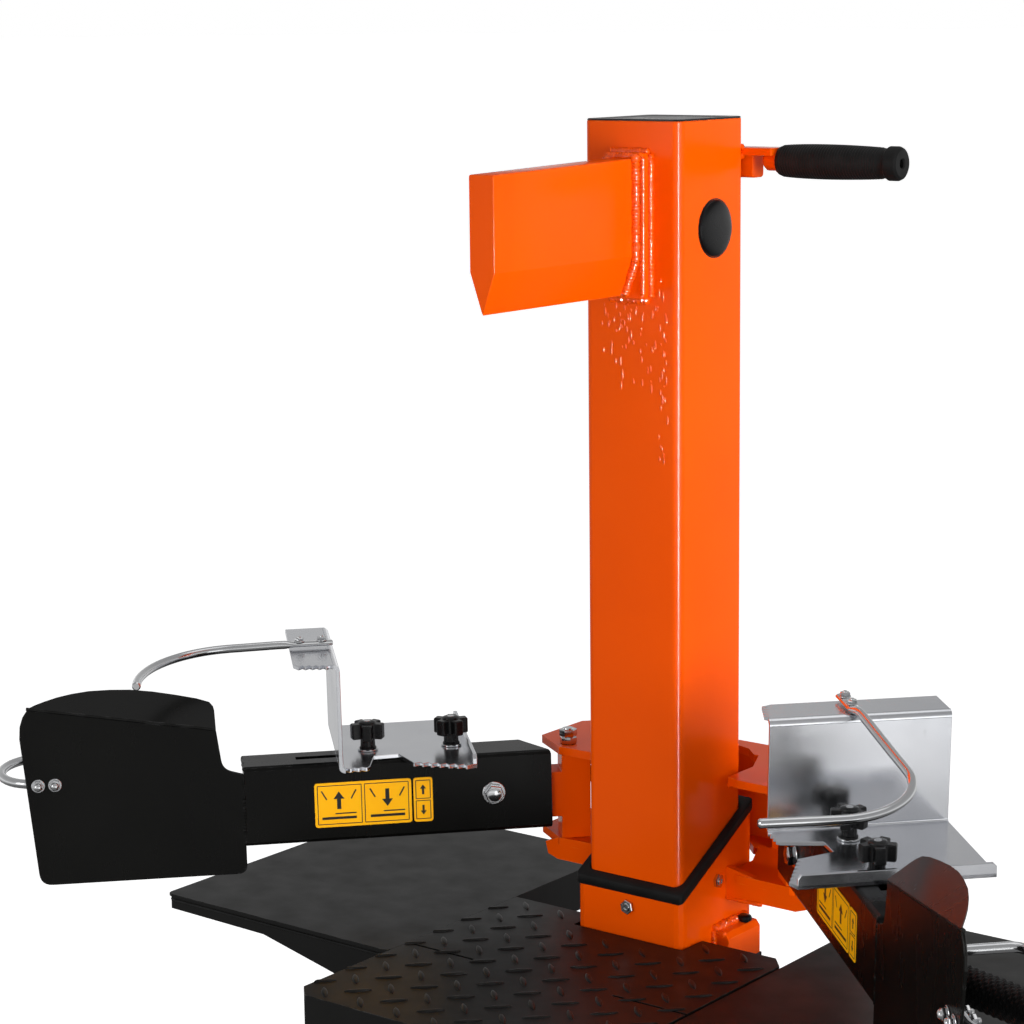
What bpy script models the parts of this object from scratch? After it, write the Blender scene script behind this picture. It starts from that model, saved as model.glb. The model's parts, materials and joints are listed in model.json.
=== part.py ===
"""Upright hydraulic log splitter.

A square mast with a wedge slides in a column between two control arms, over tables, a base and a motor unit.

Lengths are written in millimetres and stored in metres. X runs to the machine's left and right, -Y is the
operator's side where the wedge points, and Z is up from the ground.
"""
import math

import bmesh
import bpy
from mathutils import Matrix, Vector

MM = 0.001
GAP = 0.3                      # air left between two pieces that touch

# Heights above the ground
TABLE_Z = 720.0                # working surface of the table
MAST_TOP_Z = TABLE_Z + 767.0
MAST_LENGTH = 917.0
ROD_PIN_Z = TABLE_Z + 672.0
BASE_TOP_Z = 30.0

# Column and mast
MAST_HALF = 53.5
MAST_WALL = 3.5
COLUMN_HALF = 61.5
COLUMN_WALL = 4.5
CORNER = 9.0
COLLAR_FRONT_Z = TABLE_Z + 43.0
COLLAR_SLOPE = math.tan(math.radians(28.4))
SEAL_HEIGHT = 12.0
EAR_TOP_Z = TABLE_Z + 4.0      # ears on the column's sides
CYLINDER_Y = 4.0               # the hydraulic cylinder's axis inside the column

GUIDE_SCREWS = {"guide_screw_front": (0, -COLUMN_HALF, TABLE_Z + 30, "Y"),
                "guide_screw_side": (COLUMN_HALF, -2, TABLE_Z + 52, "X")}
LOCK_X = 70.0                  # table lock pin, through the column's right ear
LOCK_Y = 34.0

# Control arms, in each arm's own frame: u outwards, n towards the log, w up
PIVOT_X = 135.0
PIVOT_Y = 25.6
BOLT_U = 78.7                  # tilt bolt, measured from the swing pin
BOLT_Z = TABLE_Z + 110.0
ARM_SIDES = {"left": (-1, 45.5, 0.8), "right": (1, 42.5, 3.6)}     # side, swing angle, tilt angle
TUBE_HALF_H = 40.0
TUBE_HALF_W = 25.0
TUBE_WALL = 3.0
TUBE_END = 324.0
SLOT_START = 98.0
SLOT_END = 272.0
KNOB_NEAR = 29.0               # knob distances from the claw's upright web
KNOB_FAR = 112.0
CLAW_WEB = {"left": (229.0, -1), "right": (131.0, 1)}              # web position, way its foot points

# Arm bracket
PLATE_LOW = TABLE_Z + 48.0
PLATE_HIGH = TABLE_Z + 142.0
PLATE_T = 8.0

# Table
TABLE_HALF = 160.0
TABLE_BACK = -30.0
TABLE_FRONT = -361.0
WING_OUT = 455.0
WING_FRONT = -225.0
WING_BACK = 145.0

# Running gear and power unit
AXLE_Y = 236.0
WHEEL_R = 100.0
WHEEL_X = 235.0
UNIT_Y = 150.0                 # axis of the motor and pump
MOTOR_TOP_Z = 556.0
BOX_X = (76.0 + GAP, 118.0)    # switch box
BOX_Z = (430.0, 550.0)
BUTTONS = {"start_button": (UNIT_Y - 17, "green_plastic"), "stop_button": (UNIT_Y + 17, "red_plastic")}
BUTTON_Z = 510.0

# Valve and its levers
VALVE_Y = 88.0
LEVER_Z = TABLE_Z + 126.0
LEVER_REACH = 68.0             # how far a trip lever reaches out from its pin
PORT_Z = 636.0

# Transport handle, below the mast's top
HANDLE_Z = TABLE_Z + 731 - MAST_TOP_Z
HANDLE_Y = 70.0

# Guard, hand loop and grip of an arm
GUARD_BOLTS = (506.0, 522.0)
GUARD_BOLT_W = 34.5
LOOP_R = 4.5
LOOP_FRONT = 22.0 - GAP - LOOP_R       # hand loop's bolted leg, behind the guard's panel
LOOP_BACK = -78.0
LOOP_INNER = 392.0
LOOP_OUTER = 560.0
GRIP_START = (324.0, -7.5, -4.4)       # grip bar, from the tube's end plate
GRIP_END = (548.0, -58.0, 36.0)

# Claw and hook rod
CLAW_T = 4.0
CLAW_W = TUBE_HALF_H + GAP
CLAW_TOP = TUBE_HALF_H + 4 + 104
HOOK_R = 4.2
HOOK_BOLTS = (12.0, 34.0)              # from the web, along the upper flange
HOOK_ROUTE = {                         # reach, side step, bend along u, bend along n, tail, slope
    "left": (82.0, -14.0, 88.0, 122.0, 0.0, 0.03),
    "right": (134.0, -26.0, 63.0, 76.0, 70.0, 0.21),
}

COLOURS = {
    "orange_paint": ((0.86, 0.15, 0.01), 0.28, 0.0),
    "black_paint": ((0.018, 0.018, 0.018), 0.35, 0.0),
    "zinc_steel": ((0.62, 0.63, 0.65), 0.28, 1.0),
    "bright_steel": ((0.70, 0.71, 0.72), 0.20, 1.0),
    "black_rubber": ((0.02, 0.02, 0.02), 0.65, 0.0),
    "black_plastic": ((0.025, 0.025, 0.027), 0.45, 0.0),
    "cast_aluminium": ((0.45, 0.46, 0.47), 0.50, 1.0),
    "green_plastic": ((0.03, 0.35, 0.08), 0.35, 0.0),
    "red_plastic": ((0.60, 0.02, 0.02), 0.35, 0.0),
}
MATERIALS = {}


# ---------------------------------------------------------------- shared helpers

def material(slot):
    """The Principled material of one paint or metal, made once."""
    if slot not in MATERIALS:
        colour, roughness, metallic = COLOURS[slot]
        made = bpy.data.materials.new(slot)
        made.use_nodes = True
        shader = made.node_tree.nodes["Principled BSDF"]
        shader.inputs["Base Color"].default_value = (*colour, 1.0)
        shader.inputs["Roughness"].default_value = roughness
        shader.inputs["Metallic"].default_value = metallic
        MATERIALS[slot] = made
    return MATERIALS[slot]


def finish(name, bm, slot, parent=None, smooth=False):
    """Turn a bmesh into a named object with its material."""
    bmesh.ops.recalc_face_normals(bm, faces=bm.faces)
    mesh = bpy.data.meshes.new(name)
    bm.to_mesh(mesh)
    bm.free()
    mesh.materials.append(material(slot))
    if smooth:
        mesh.shade_smooth()
        mesh.set_sharp_from_angle(angle=math.radians(35))
    made = bpy.data.objects.new(name, mesh)
    bpy.context.scene.collection.objects.link(made)
    made.parent = parent
    return made


def empty(name, location, rotation=(0, 0, 0), parent=None):
    """An empty that stands on a joint's axis."""
    made = bpy.data.objects.new(name, None)
    made.location = Vector(location) * MM
    made.rotation_euler = [math.radians(angle) for angle in rotation]
    made.parent = parent
    bpy.context.scene.collection.objects.link(made)
    return made


def spot(plane, a, b, c):
    """A point from two coordinates in a plane and one along its normal."""
    order = {"XY": (a, b, c), "XZ": (a, c, b), "YZ": (c, a, b)}
    return Vector(order[plane]) * MM


def prism(bm, outline, low, high, plane="XY"):
    """Extrude a closed outline from low to high along the plane's normal."""
    corners = [bm.verts.new(spot(plane, a, b, low)) for a, b in outline]
    face = bm.faces.new(corners)
    grown = bmesh.ops.extrude_face_region(bm, geom=[face], use_keep_orig=True)
    moved = [item for item in grown["geom"] if isinstance(item, bmesh.types.BMVert)]
    bmesh.ops.translate(bm, vec=spot(plane, 0, 0, high - low), verts=moved)


def block(bm, x, y, z):
    """A box from three pairs of limits."""
    prism(bm, [(x[0], y[0]), (x[1], y[0]), (x[1], y[1]), (x[0], y[1])], z[0], z[1])


def rounded(half_x, half_y, radius, steps=3, centre=(0, 0)):
    """Outline of a rectangle with round corners."""
    points = []
    for turn, (sx, sy) in enumerate(((1, 1), (-1, 1), (-1, -1), (1, -1))):
        for step in range(steps + 1):
            angle = math.radians(90 * (turn + step / steps))
            points.append((centre[0] + sx * (half_x - radius) + radius * math.cos(angle),
                           centre[1] + sy * (half_y - radius) + radius * math.sin(angle)))
    return points


def tube(bm, outer, inner, low, high, plane="XY"):
    """A pipe between two outlines; low and high are heights, or functions of a point."""
    def level(height, point):
        return height(point) if callable(height) else height
    loops = []
    for outline, height in ((outer, low), (outer, high), (inner, high), (inner, low)):
        loops.append([bm.verts.new(spot(plane, a, b, level(height, (a, b)))) for a, b in outline])
    count = len(outer)
    for first, second in zip(loops, loops[1:] + loops[:1]):
        for i in range(count):
            j = (i + 1) % count
            bm.faces.new((first[i], first[j], second[j], second[i]))


def lathe(bm, profile, axis, centre, steps=24):
    """Spin a closed profile of (radius, height) about an axis through centre."""
    turn = {"Z": Matrix.Identity(3), "X": Matrix.Rotation(math.pi / 2, 3, "Y"),
            "Y": Matrix.Rotation(-math.pi / 2, 3, "X")}[axis]
    origin = Vector(centre) * MM
    ring = [bm.verts.new(turn @ (Vector((radius, 0, height)) * MM) + origin) for radius, height in profile]
    edges = [bm.edges.new((a, b)) for a, b in zip(ring, ring[1:] + ring[:1])]
    bmesh.ops.spin(bm, geom=ring + edges, cent=origin, axis=turn @ Vector((0, 0, 1)), dvec=(0, 0, 0),
                   angle=math.tau, steps=steps, use_merge=True)
    bmesh.ops.remove_doubles(bm, verts=bm.verts, dist=1e-7)
    flat = [edge for edge in bm.edges if edge.is_valid and not edge.link_faces]
    bmesh.ops.delete(bm, geom=flat, context="EDGES")
    thin = [face for face in bm.faces if face.calc_area() < 1e-14]
    bmesh.ops.delete(bm, geom=thin, context="FACES")


def round_bar(bm, radius, low, high, axis, centre, steps=16):
    """A plain cylinder between two places along an axis."""
    turn = {"Z": Matrix.Identity(4), "X": Matrix.Rotation(math.pi / 2, 4, "Y"),
            "Y": Matrix.Rotation(-math.pi / 2, 4, "X")}[axis]
    middle = Vector(centre)
    middle["XYZ".index(axis)] = (low + high) / 2
    place = Matrix.Translation(middle * MM) @ turn
    bmesh.ops.create_cone(bm, cap_ends=True, segments=steps, radius1=radius * MM, radius2=radius * MM,
                          depth=(high - low) * MM, matrix=place)


def solid(build, *args, **kwargs):
    """A bmesh holding one primitive."""
    bm = bmesh.new()
    build(bm, *args, **kwargs)
    return bm


def combine(target, tool, operation):
    """Boolean a tool mesh into an object and keep the plain result."""
    cutter = finish("tool", tool, "black_paint", target.parent)
    modifier = target.modifiers.new("combine", "BOOLEAN")
    modifier.operation = operation
    modifier.solver = "EXACT"
    modifier.object = cutter
    bpy.context.view_layer.update()
    graph = bpy.context.evaluated_depsgraph_get()
    result = bpy.data.meshes.new_from_object(target.evaluated_get(graph))
    target.modifiers.clear()
    target.data = result
    bpy.data.objects.remove(cutter)


def join(target, *tools):
    for tool in tools:
        combine(target, tool, "UNION")


def cut(target, *tools):
    for tool in tools:
        combine(target, tool, "DIFFERENCE")


def rod(name, points, radius, slot, parent=None, cyclic=False, sides=3):
    """A round bar along a route, as a bevelled curve."""
    curve = bpy.data.curves.new(name, "CURVE")
    curve.dimensions = "3D"
    curve.bevel_depth = radius * MM
    curve.bevel_resolution = sides
    curve.use_fill_caps = True
    spline = curve.splines.new("POLY")
    spline.points.add(len(points) - 1)
    for item, point in zip(spline.points, points):
        item.co = (*(Vector(point) * MM), 1)
    spline.use_cyclic_u = cyclic
    curve.materials.append(material(slot))
    made = bpy.data.objects.new(name, curve)
    bpy.context.scene.collection.objects.link(made)
    made.parent = parent
    return made


def arc(centre, radius, start, end, steps):
    """Points of an arc in a plane, angles in degrees."""
    found = []
    for step in range(steps + 1):
        angle = math.radians(start + (end - start) * step / steps)
        found.append((centre[0] + radius * math.cos(angle), centre[1] + radius * math.sin(angle)))
    return found


# ---------------------------------------------------------------- base, column and tables

def base_plate():
    """Floor plate with two ears for the axle and four gussets beside the column."""
    bm = bmesh.new()
    prism(bm, rounded(205, 282, 14, 2, (0, -67)), BASE_TOP_Z - 8, BASE_TOP_Z)
    plate = finish("base_plate", bm, "black_paint")
    ear = [(90, 26), (206, 26), (262, 82), (262, 112), (244, 124), (224, 124), (90, 60)]
    for side in (-1, 1):
        join(plate, solid(prism, ear, side * 182 - 4, side * 182 + 4, "YZ"))
    for side in (-1, 1):
        foot = COLUMN_HALF + GAP
        gusset = [(side * foot, 28), (side * (foot + 80), 28), (side * (foot + 80), 40), (side * foot, 150)]
        join(plate, solid(prism, gusset, -4, 4, "XZ"))
    cut(plate, solid(round_bar, 10.6, -200, 200, "X", (0, AXLE_Y, WHEEL_R)))
    return plate


def base_strip():
    """Rubber strip under the rim of the floor plate, with a bar across below the column."""
    bm = bmesh.new()
    middle = (0, -67)
    tube(bm, rounded(202, 279, 12, 2, middle), rounded(180, 257, 6, 2, middle), 0, BASE_TOP_Z - 8 - GAP)
    strip = finish("base_strip", bm, "black_rubber")
    join(strip, solid(block, (-190, 190), (-14, 14), (0, BASE_TOP_Z - 8 - GAP)))


def collar_top(point):
    """Height of the column's slanted rim over a point in plan."""
    return COLLAR_FRONT_Z + (point[1] + COLUMN_HALF) * COLLAR_SLOPE


def fixed_column():
    """Square column that the mast slides into, with a rim that rises to the back and two welded ears."""
    bm = bmesh.new()
    inner = COLUMN_HALF - COLUMN_WALL
    tube(bm, rounded(COLUMN_HALF, COLUMN_HALF, CORNER), rounded(inner, inner, CORNER - COLUMN_WALL),
         BASE_TOP_Z + GAP, collar_top)
    column = finish("fixed_column", bm, "orange_paint", smooth=True)
    ear = [(COLUMN_HALF - 2, TABLE_Z - 30), (79, TABLE_Z - 30), (79, EAR_TOP_Z - 6), (75, EAR_TOP_Z - 1),
           (COLUMN_HALF - 2, EAR_TOP_Z)]
    for side in (-1, 1):
        join(column, solid(prism, [(side * x, z) for x, z in ear], -8, 47, "XZ"))
    for x, y, z, axis in GUIDE_SCREWS.values():
        low, high = ((-70, 0) if (x + y) < 0 else (0, 70))
        cut(column, solid(round_bar, 4.3, low, high, axis, (x, y, z), 12))
    cut(column, solid(round_bar, 4.6, TABLE_Z - 45, TABLE_Z + 25, "Z", (LOCK_X, LOCK_Y, 0), 12))
    return column


def collar_seal():
    """Rubber wiper lying on the rim of the column."""
    bm = bmesh.new()
    inner = MAST_HALF + 1.0
    tube(bm, rounded(COLUMN_HALF + 2, COLUMN_HALF + 2, CORNER + 1), rounded(inner, inner, CORNER - 1),
         lambda p: collar_top(p) + 0.5, lambda p: collar_top(p) + SEAL_HEIGHT)
    finish("collar_seal", bm, "black_rubber", smooth=True)


def guide_screw(name):
    """Set screw that takes up the play between column and mast."""
    x, y, z, axis = GUIDE_SCREWS[name]
    sign = -1 if (x + y) < 0 else 1
    low, high = sorted((sign * (MAST_HALF + 1), sign * (COLUMN_HALF + 5)))
    bm = bmesh.new()
    round_bar(bm, 4.0, low, high, axis, (x, y, z), 12)
    screw = finish(name, bm, "zinc_steel", smooth=True)
    head = sorted((sign * (COLUMN_HALF + GAP), sign * (COLUMN_HALF + 5)))
    join(screw, solid(round_bar, 6.5, head[0], head[1], axis, (x, y, z), 12))


def bracket_frame():
    """Two bent plates around the column that carry the swing pins of both arms."""
    face = COLUMN_HALF + GAP
    right = [(face, 16), (75, 12), (135, 10), (176, 36), (176, 104), (146, 136)]
    left = [(-x, y) for x, y in reversed(right)]
    hollow = [(-face, 60), (-44, 98)] + list(arc((0, 76), 44, 150, 30, 4)) + [(44, 98), (face, 60)]
    outline = right + left + hollow
    bm = bmesh.new()
    prism(bm, outline, PLATE_HIGH, PLATE_HIGH + PLATE_T)
    frame = finish("bracket_frame", bm, "orange_paint")
    join(frame, solid(prism, outline, PLATE_LOW, PLATE_LOW + PLATE_T))
    join(frame, solid(block, (-140, 140), (130, 136), (PLATE_LOW + 1, PLATE_HIGH + 1)))
    for side in (-1, 1):
        bar = [(face, 32), (140, 32), (152, 36), (155, 48), (140, 54), (104, 54), (face, 62)]
        join(frame, solid(prism, [(side * x, TABLE_Z + z) for x, z in bar], 13, 20, "XZ"))
    for side in (-1, 1):
        post = solid(block, (side * 62 - 6, side * 62 + 6), (104, 131), (PLATE_LOW + 6, PLATE_HIGH - 8))
        join(frame, post)
        cut(frame, solid(round_bar, 7.5, PLATE_LOW - 20, PLATE_HIGH + 20, "Z", (side * PIVOT_X, PIVOT_Y, 0)))
        cut(frame, solid(round_bar, 4.0, 98, 124, "Y", (side * 62, 0, LEVER_Z), 12))
    return frame


def swing_pin(name, side):
    """Pin through both plates of the bracket, with two nuts on top."""
    bm = bmesh.new()
    head = PLATE_HIGH + PLATE_T + GAP
    profile = [(0, PLATE_LOW - 8), (7, PLATE_LOW - 8), (7, head), (9, head), (9, head + 15), (7, head + 16.5),
               (0, head + 16.5)]
    lathe(bm, profile, "Z", (side * PIVOT_X, PIVOT_Y, 0), 16)
    finish(name, bm, "zinc_steel", smooth=True)


def checker_table():
    """Tread plate with side skirts and two rails that hook beside the column."""
    bm = bmesh.new()
    notch = COLUMN_HALF + 2
    outline = [(-TABLE_HALF, TABLE_BACK), (-TABLE_HALF, TABLE_FRONT + 16), (-TABLE_HALF + 16, TABLE_FRONT),
               (TABLE_HALF - 16, TABLE_FRONT), (TABLE_HALF, TABLE_FRONT + 16), (TABLE_HALF, TABLE_BACK - 16),
               (TABLE_HALF - 14, TABLE_BACK), (notch, TABLE_BACK), (notch, -notch), (-notch, -notch),
               (-notch, TABLE_BACK)]
    prism(bm, outline, TABLE_Z - 6, TABLE_Z)
    table = finish("checker_table", bm, "black_paint")
    for side in (-1, 1):
        edge = sorted((side * TABLE_HALF, side * (TABLE_HALF - 4)))
        join(table, solid(block, edge, (TABLE_FRONT + 16, TABLE_BACK - 16), (TABLE_Z - 44, TABLE_Z - 3)))
        rail = [(TABLE_FRONT + 10, TABLE_Z - 4), (TABLE_FRONT + 10, TABLE_Z - 40), (-60, TABLE_Z - 64),
                (52, TABLE_Z - 64), (52, TABLE_Z - 31), (-34, TABLE_Z - 31), (-34, TABLE_Z - 4)]
        low, high = sorted((side * 72.0, side * 78.0))
        join(table, solid(prism, rail, low, high, "YZ"))
    front = (TABLE_FRONT, TABLE_FRONT + 4)
    join(table, solid(block, (-TABLE_HALF + 16, TABLE_HALF - 16), front, (TABLE_Z - 44, TABLE_Z - 3)))
    for side in (-1, 1):
        low, high = sorted((side * 80, side * (TABLE_HALF + 2)))
        cut(table, solid(block, (low, high), (-200, -197), (TABLE_Z - 12, TABLE_Z + 2)))
        tab = sorted((side * (COLUMN_HALF + 1), side * 80))
        join(table, solid(block, tab, (LOCK_Y - 12, LOCK_Y + 12), (TABLE_Z - 40, TABLE_Z - 31)))
    cut(table, solid(round_bar, 4.6, TABLE_Z - 45, TABLE_Z - 25, "Z", (LOCK_X, LOCK_Y, 0), 12))
    return table


def side_table(name, side):
    """Plain sheet table with a turned-down rim that deepens towards the middle."""
    inner = TABLE_HALF + 2
    bm = bmesh.new()
    span = sorted((side * inner, side * WING_OUT))
    centre = ((span[0] + span[1]) / 2, (WING_FRONT + WING_BACK) / 2)
    outline = rounded((span[1] - span[0]) / 2, (WING_BACK - WING_FRONT) / 2, 6, 2, centre)
    prism(bm, outline, TABLE_Z - 4, TABLE_Z - 1)
    wing = finish(name, bm, "black_paint")
    skirt = [(side * (WING_OUT - 6), TABLE_Z - 16), (side * 323, TABLE_Z - 18), (side * 264, TABLE_Z - 31),
             (side * 228, TABLE_Z - 39), (side * inner, TABLE_Z - 44), (side * inner, TABLE_Z - 2),
             (side * (WING_OUT - 6), TABLE_Z - 2)]
    for y in (WING_FRONT, WING_BACK - 3):
        join(wing, solid(prism, skirt, y, y + 3, "XZ"))
    rim = sorted((side * WING_OUT, side * (WING_OUT - 3)))
    join(wing, solid(block, rim, (WING_FRONT + 6, WING_BACK - 6), (TABLE_Z - 16, TABLE_Z - 2)))
    flange = sorted((side * inner, side * (inner + 3)))
    join(wing, solid(block, flange, (WING_FRONT + 1, WING_BACK - 1), (TABLE_Z - 44, TABLE_Z - 2)))
    return wing


def lock_pin():
    """Pull pin through the column's right ear and the tab of the table's rail."""
    bm = bmesh.new()
    cap = EAR_TOP_Z - TABLE_Z + 0.5
    profile = [(0, -40), (4, -40), (4, cap), (6.5, cap), (6.5, cap + 6.5), (5, cap + 8.5), (0, cap + 8.5)]
    lathe(bm, profile, "Z", (0, 0, 0), 16)
    made = finish("lock_pin", bm, "black_plastic", smooth=True)
    made.location = Vector((LOCK_X, LOCK_Y, TABLE_Z)) * MM


# ---------------------------------------------------------------- running gear and power unit

def axle():
    bm = bmesh.new()
    end = WHEEL_X + 24
    lathe(bm, [(0, -end - 5), (14, -end - 5), (14, -end), (10, -end), (10, end), (14, end), (14, end + 5), (0, end + 5)],
          "X", (0, AXLE_Y, WHEEL_R), 20)
    finish("axle", bm, "zinc_steel", smooth=True)


def wheel(name, side):
    """Solid tyre on a dished plastic rim, running on the axle."""
    bm = bmesh.new()
    profile = [(10.4, -22), (20, -22), (20, -8), (58, -6), (66, -16), (84, -20), (96, -17), (WHEEL_R, -9),
               (WHEEL_R, 9), (96, 17), (84, 20), (66, 16), (58, 6), (20, 8), (20, 22), (10.4, 22)]
    lathe(bm, profile, "X", (0, 0, 0), 28)
    made = finish(name, bm, "black_rubber", smooth=True)
    made.location = Vector((side * WHEEL_X, AXLE_Y, WHEEL_R)) * MM


def oil_tank():
    """Welded reservoir behind the column that carries pump and motor."""
    bm = bmesh.new()
    prism(bm, rounded(88, 70, 12, 2, (0, UNIT_Y - 4)), BASE_TOP_Z + GAP, 300)
    tank = finish("oil_tank", bm, "black_paint")
    hollow = bmesh.new()
    prism(hollow, rounded(84, 66, 8, 2, (0, UNIT_Y - 4)), BASE_TOP_Z + 6, 294)
    cut(tank, hollow)
    cut(tank, solid(round_bar, 11, 290, 310, "Z", (64, UNIT_Y - 50, 0)))
    return tank


def oil_cap():
    """Filler plug with a dipstick."""
    bm = bmesh.new()
    lathe(bm, [(0, 150), (3, 150), (3, 288), (10, 288), (10, 300 + GAP), (17, 300 + GAP), (17, 312), (13, 318), (0, 318)],
          "Z", (64, UNIT_Y - 50, 0), 16)
    finish("oil_cap", bm, "red_plastic", smooth=True)


def gear_pump():
    bm = bmesh.new()
    prism(bm, rounded(46, 42, 10, 2, (0, UNIT_Y)), 300 + GAP, 384)
    pump = finish("gear_pump", bm, "cast_aluminium")
    join(pump, solid(round_bar, 62, 372, 390, "Z", (0, UNIT_Y, 0), 24))


def motor_body():
    """Finned motor housing with its flange and shaft end."""
    bm = bmesh.new()
    profile = [(0, 390 + GAP), (70, 390 + GAP), (70, 402), (62, 410)]
    for fin in range(7):
        z = 418 + fin * 19
        profile += [(62, z), (71, z + 1), (71, z + 7), (62, z + 8)]
    profile += [(62, MOTOR_TOP_Z), (0, MOTOR_TOP_Z)]
    lathe(bm, profile, "Z", (0, UNIT_Y, 0), 24)
    motor = finish("motor_body", bm, "cast_aluminium", smooth=True)
    join(motor, solid(block, (40, 76), (UNIT_Y - 30, UNIT_Y + 30), (436, 544)))


def motor_fan_cover():
    bm = bmesh.new()
    low = MOTOR_TOP_Z + GAP
    lathe(bm, [(0, low + 36), (66, low + 32), (71, low + 26), (71, low), (74, low), (74, low + 30), (66, low + 38),
               (0, low + 42)], "Z", (0, UNIT_Y, 0), 24)
    finish("motor_fan_cover", bm, "black_plastic", smooth=True)


def switch_box():
    """Switch housing on the motor's side, with two button wells."""
    bm = bmesh.new()
    prism(bm, rounded(36, 60, 8, 2, (UNIT_Y, 490)), BOX_X[0], BOX_X[1], "YZ")
    box = finish("switch_box", bm, "black_plastic")
    for y, _ in BUTTONS.values():
        cut(box, solid(round_bar, 13.5, BOX_X[1] - 12, BOX_X[1] + 5, "X", (0, y, BUTTON_Z), 20))
    return box


def button(name, y, slot):
    bm = bmesh.new()
    lathe(bm, [(0, -9), (13, -9), (13, 3), (11.5, 5), (0, 5.5)], "X", (0, 0, 0), 20)
    made = finish(name, bm, slot, smooth=True)
    made.location = Vector((BOX_X[1], y, BUTTON_Z)) * MM


def power_inlet():
    """Mains inlet under the switch box: a round shroud with three pins inside."""
    bm = bmesh.new()
    centre = (97, UNIT_Y, 0)
    top = BOX_Z[0] - GAP
    lathe(bm, [(0, top), (19, top), (21, top - 6), (21, top - 34), (18, top - 34), (18, top - 8), (0, top - 8)], "Z",
          centre, 20)
    inlet = finish("power_inlet", bm, "black_plastic", smooth=True)
    for angle in (90, 210, 330):
        x = centre[0] + 9 * math.cos(math.radians(angle))
        y = centre[1] + 9 * math.sin(math.radians(angle))
        join(inlet, solid(round_bar, 2.4, top - 26, top - 7, "Z", (x, y, 0), 8))


def valve_block():
    """Hydraulic valve on the back of the column, with the spool's bore and the ports' bosses."""
    bm = bmesh.new()
    block(bm, (-36, 36), (COLUMN_HALF + GAP, 112), (604, 666))
    valve = finish("valve_block", bm, "cast_aluminium")
    join(valve, solid(round_bar, 14, -46, -30, "X", (0, VALVE_Y, PORT_Z), 16))
    cut(valve, solid(round_bar, 8.4, 620, 680, "Z", (0, VALVE_Y, 0), 16))
    return valve


def valve_spool():
    """Spool with a long stem and the pad that the trip levers press."""
    bm = bmesh.new()
    top = TABLE_Z + 119.0
    profile = [(0, 632 - top), (8, 632 - top), (8, 672 - top), (5, 676 - top), (5, -5), (10, -5), (10, 0), (0, 0)]
    lathe(bm, profile, "Z", (0, 0, 0), 16)
    made = finish("valve_spool", bm, "bright_steel", smooth=True)
    made.location = Vector((0, VALVE_Y, top)) * MM


def trip_lever(side_name, side, tilt):
    """Lever between an arm's tail and the valve spool, turning on a pin in the bracket."""
    rest = math.degrees(math.asin((BOLT_U + 40) * math.sin(math.radians(tilt - 0.8)) / 60))
    pivot = empty(f"lever_axis_{side_name}", (side * 62, VALVE_Y, LEVER_Z), (0, -side * rest, 0))
    bm = bmesh.new()
    inner = -60 if side < 0 else -46
    bar = [(inner, -8), (32, -8), (36, -34), (LEVER_REACH, -34), (LEVER_REACH, 4), (40, 8), (inner, 8)]
    prism(bm, [(side * a, b) for a, b in bar], -3.0, 3.0)
    lever = finish(f"trip_lever_{side_name}", bm, "zinc_steel", pivot)
    join(lever, solid(round_bar, 8, -9, 12, "Y", (0, 0, 0), 16))
    join(lever, solid(round_bar, 3.6, 10, 32, "Y", (0, 0, 0), 12))


def pressure_pipe():
    """Steel pipe from the pump's outlet to the valve."""
    points = [(-46 - GAP, UNIT_Y, 345), (-62, UNIT_Y, 345), (-78, UNIT_Y - 4, 352), (-86, UNIT_Y - 12, 370),
              (-86, UNIT_Y - 40, 440), (-84, UNIT_Y - 58, 500), (-80, VALVE_Y, 550), (-78, VALVE_Y, 614),
              (-72, VALVE_Y, 630), (-60, VALVE_Y, PORT_Z), (-46 - GAP, VALVE_Y, PORT_Z)]
    rod("pressure_pipe", points, 6, "zinc_steel", sides=2)


def cylinder_barrel():
    """Hydraulic barrel standing inside the column."""
    bm = bmesh.new()
    foot = BASE_TOP_Z + GAP
    profile = [(0, foot), (32, foot), (32, 860), (17, 860), (17, 845), (26, 845), (26, 60), (0, 60)]
    lathe(bm, profile, "Z", (0, CYLINDER_Y, 0), 20)
    finish("cylinder_barrel", bm, "bright_steel", smooth=True)


# ---------------------------------------------------------------- mast

def mast_tube(mast):
    """Sliding mast, bored on both sides for the cylinder pin."""
    bm = bmesh.new()
    inner = MAST_HALF - MAST_WALL
    outer = rounded(MAST_HALF, MAST_HALF, CORNER)
    tube(bm, outer, rounded(inner, inner, CORNER - MAST_WALL), -MAST_LENGTH, 0)
    made = finish("mast_tube", bm, "orange_paint", mast, smooth=True)
    cut(made, solid(round_bar, 12.5, -60, 60, "X", (0, CYLINDER_Y, ROD_PIN_Z - MAST_TOP_Z), 20))


def mast_cap(mast):
    bm = bmesh.new()
    prism(bm, rounded(MAST_HALF, MAST_HALF, CORNER), GAP, 5.5)
    finish("mast_cap", bm, "black_plastic", mast, smooth=True)


def pin_plug(name, side, mast):
    """Round plug over one end of the cylinder pin."""
    bm = bmesh.new()
    face = side * (MAST_HALF + GAP)
    lathe(bm, [(0, face), (26, face), (26, face + side * 1.5), (22, face + side * 3.5), (0, face + side * 4)], "X",
          (0, CYLINDER_Y, ROD_PIN_Z - MAST_TOP_Z), 24)
    finish(name, bm, "black_plastic", mast, smooth=True)


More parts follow.
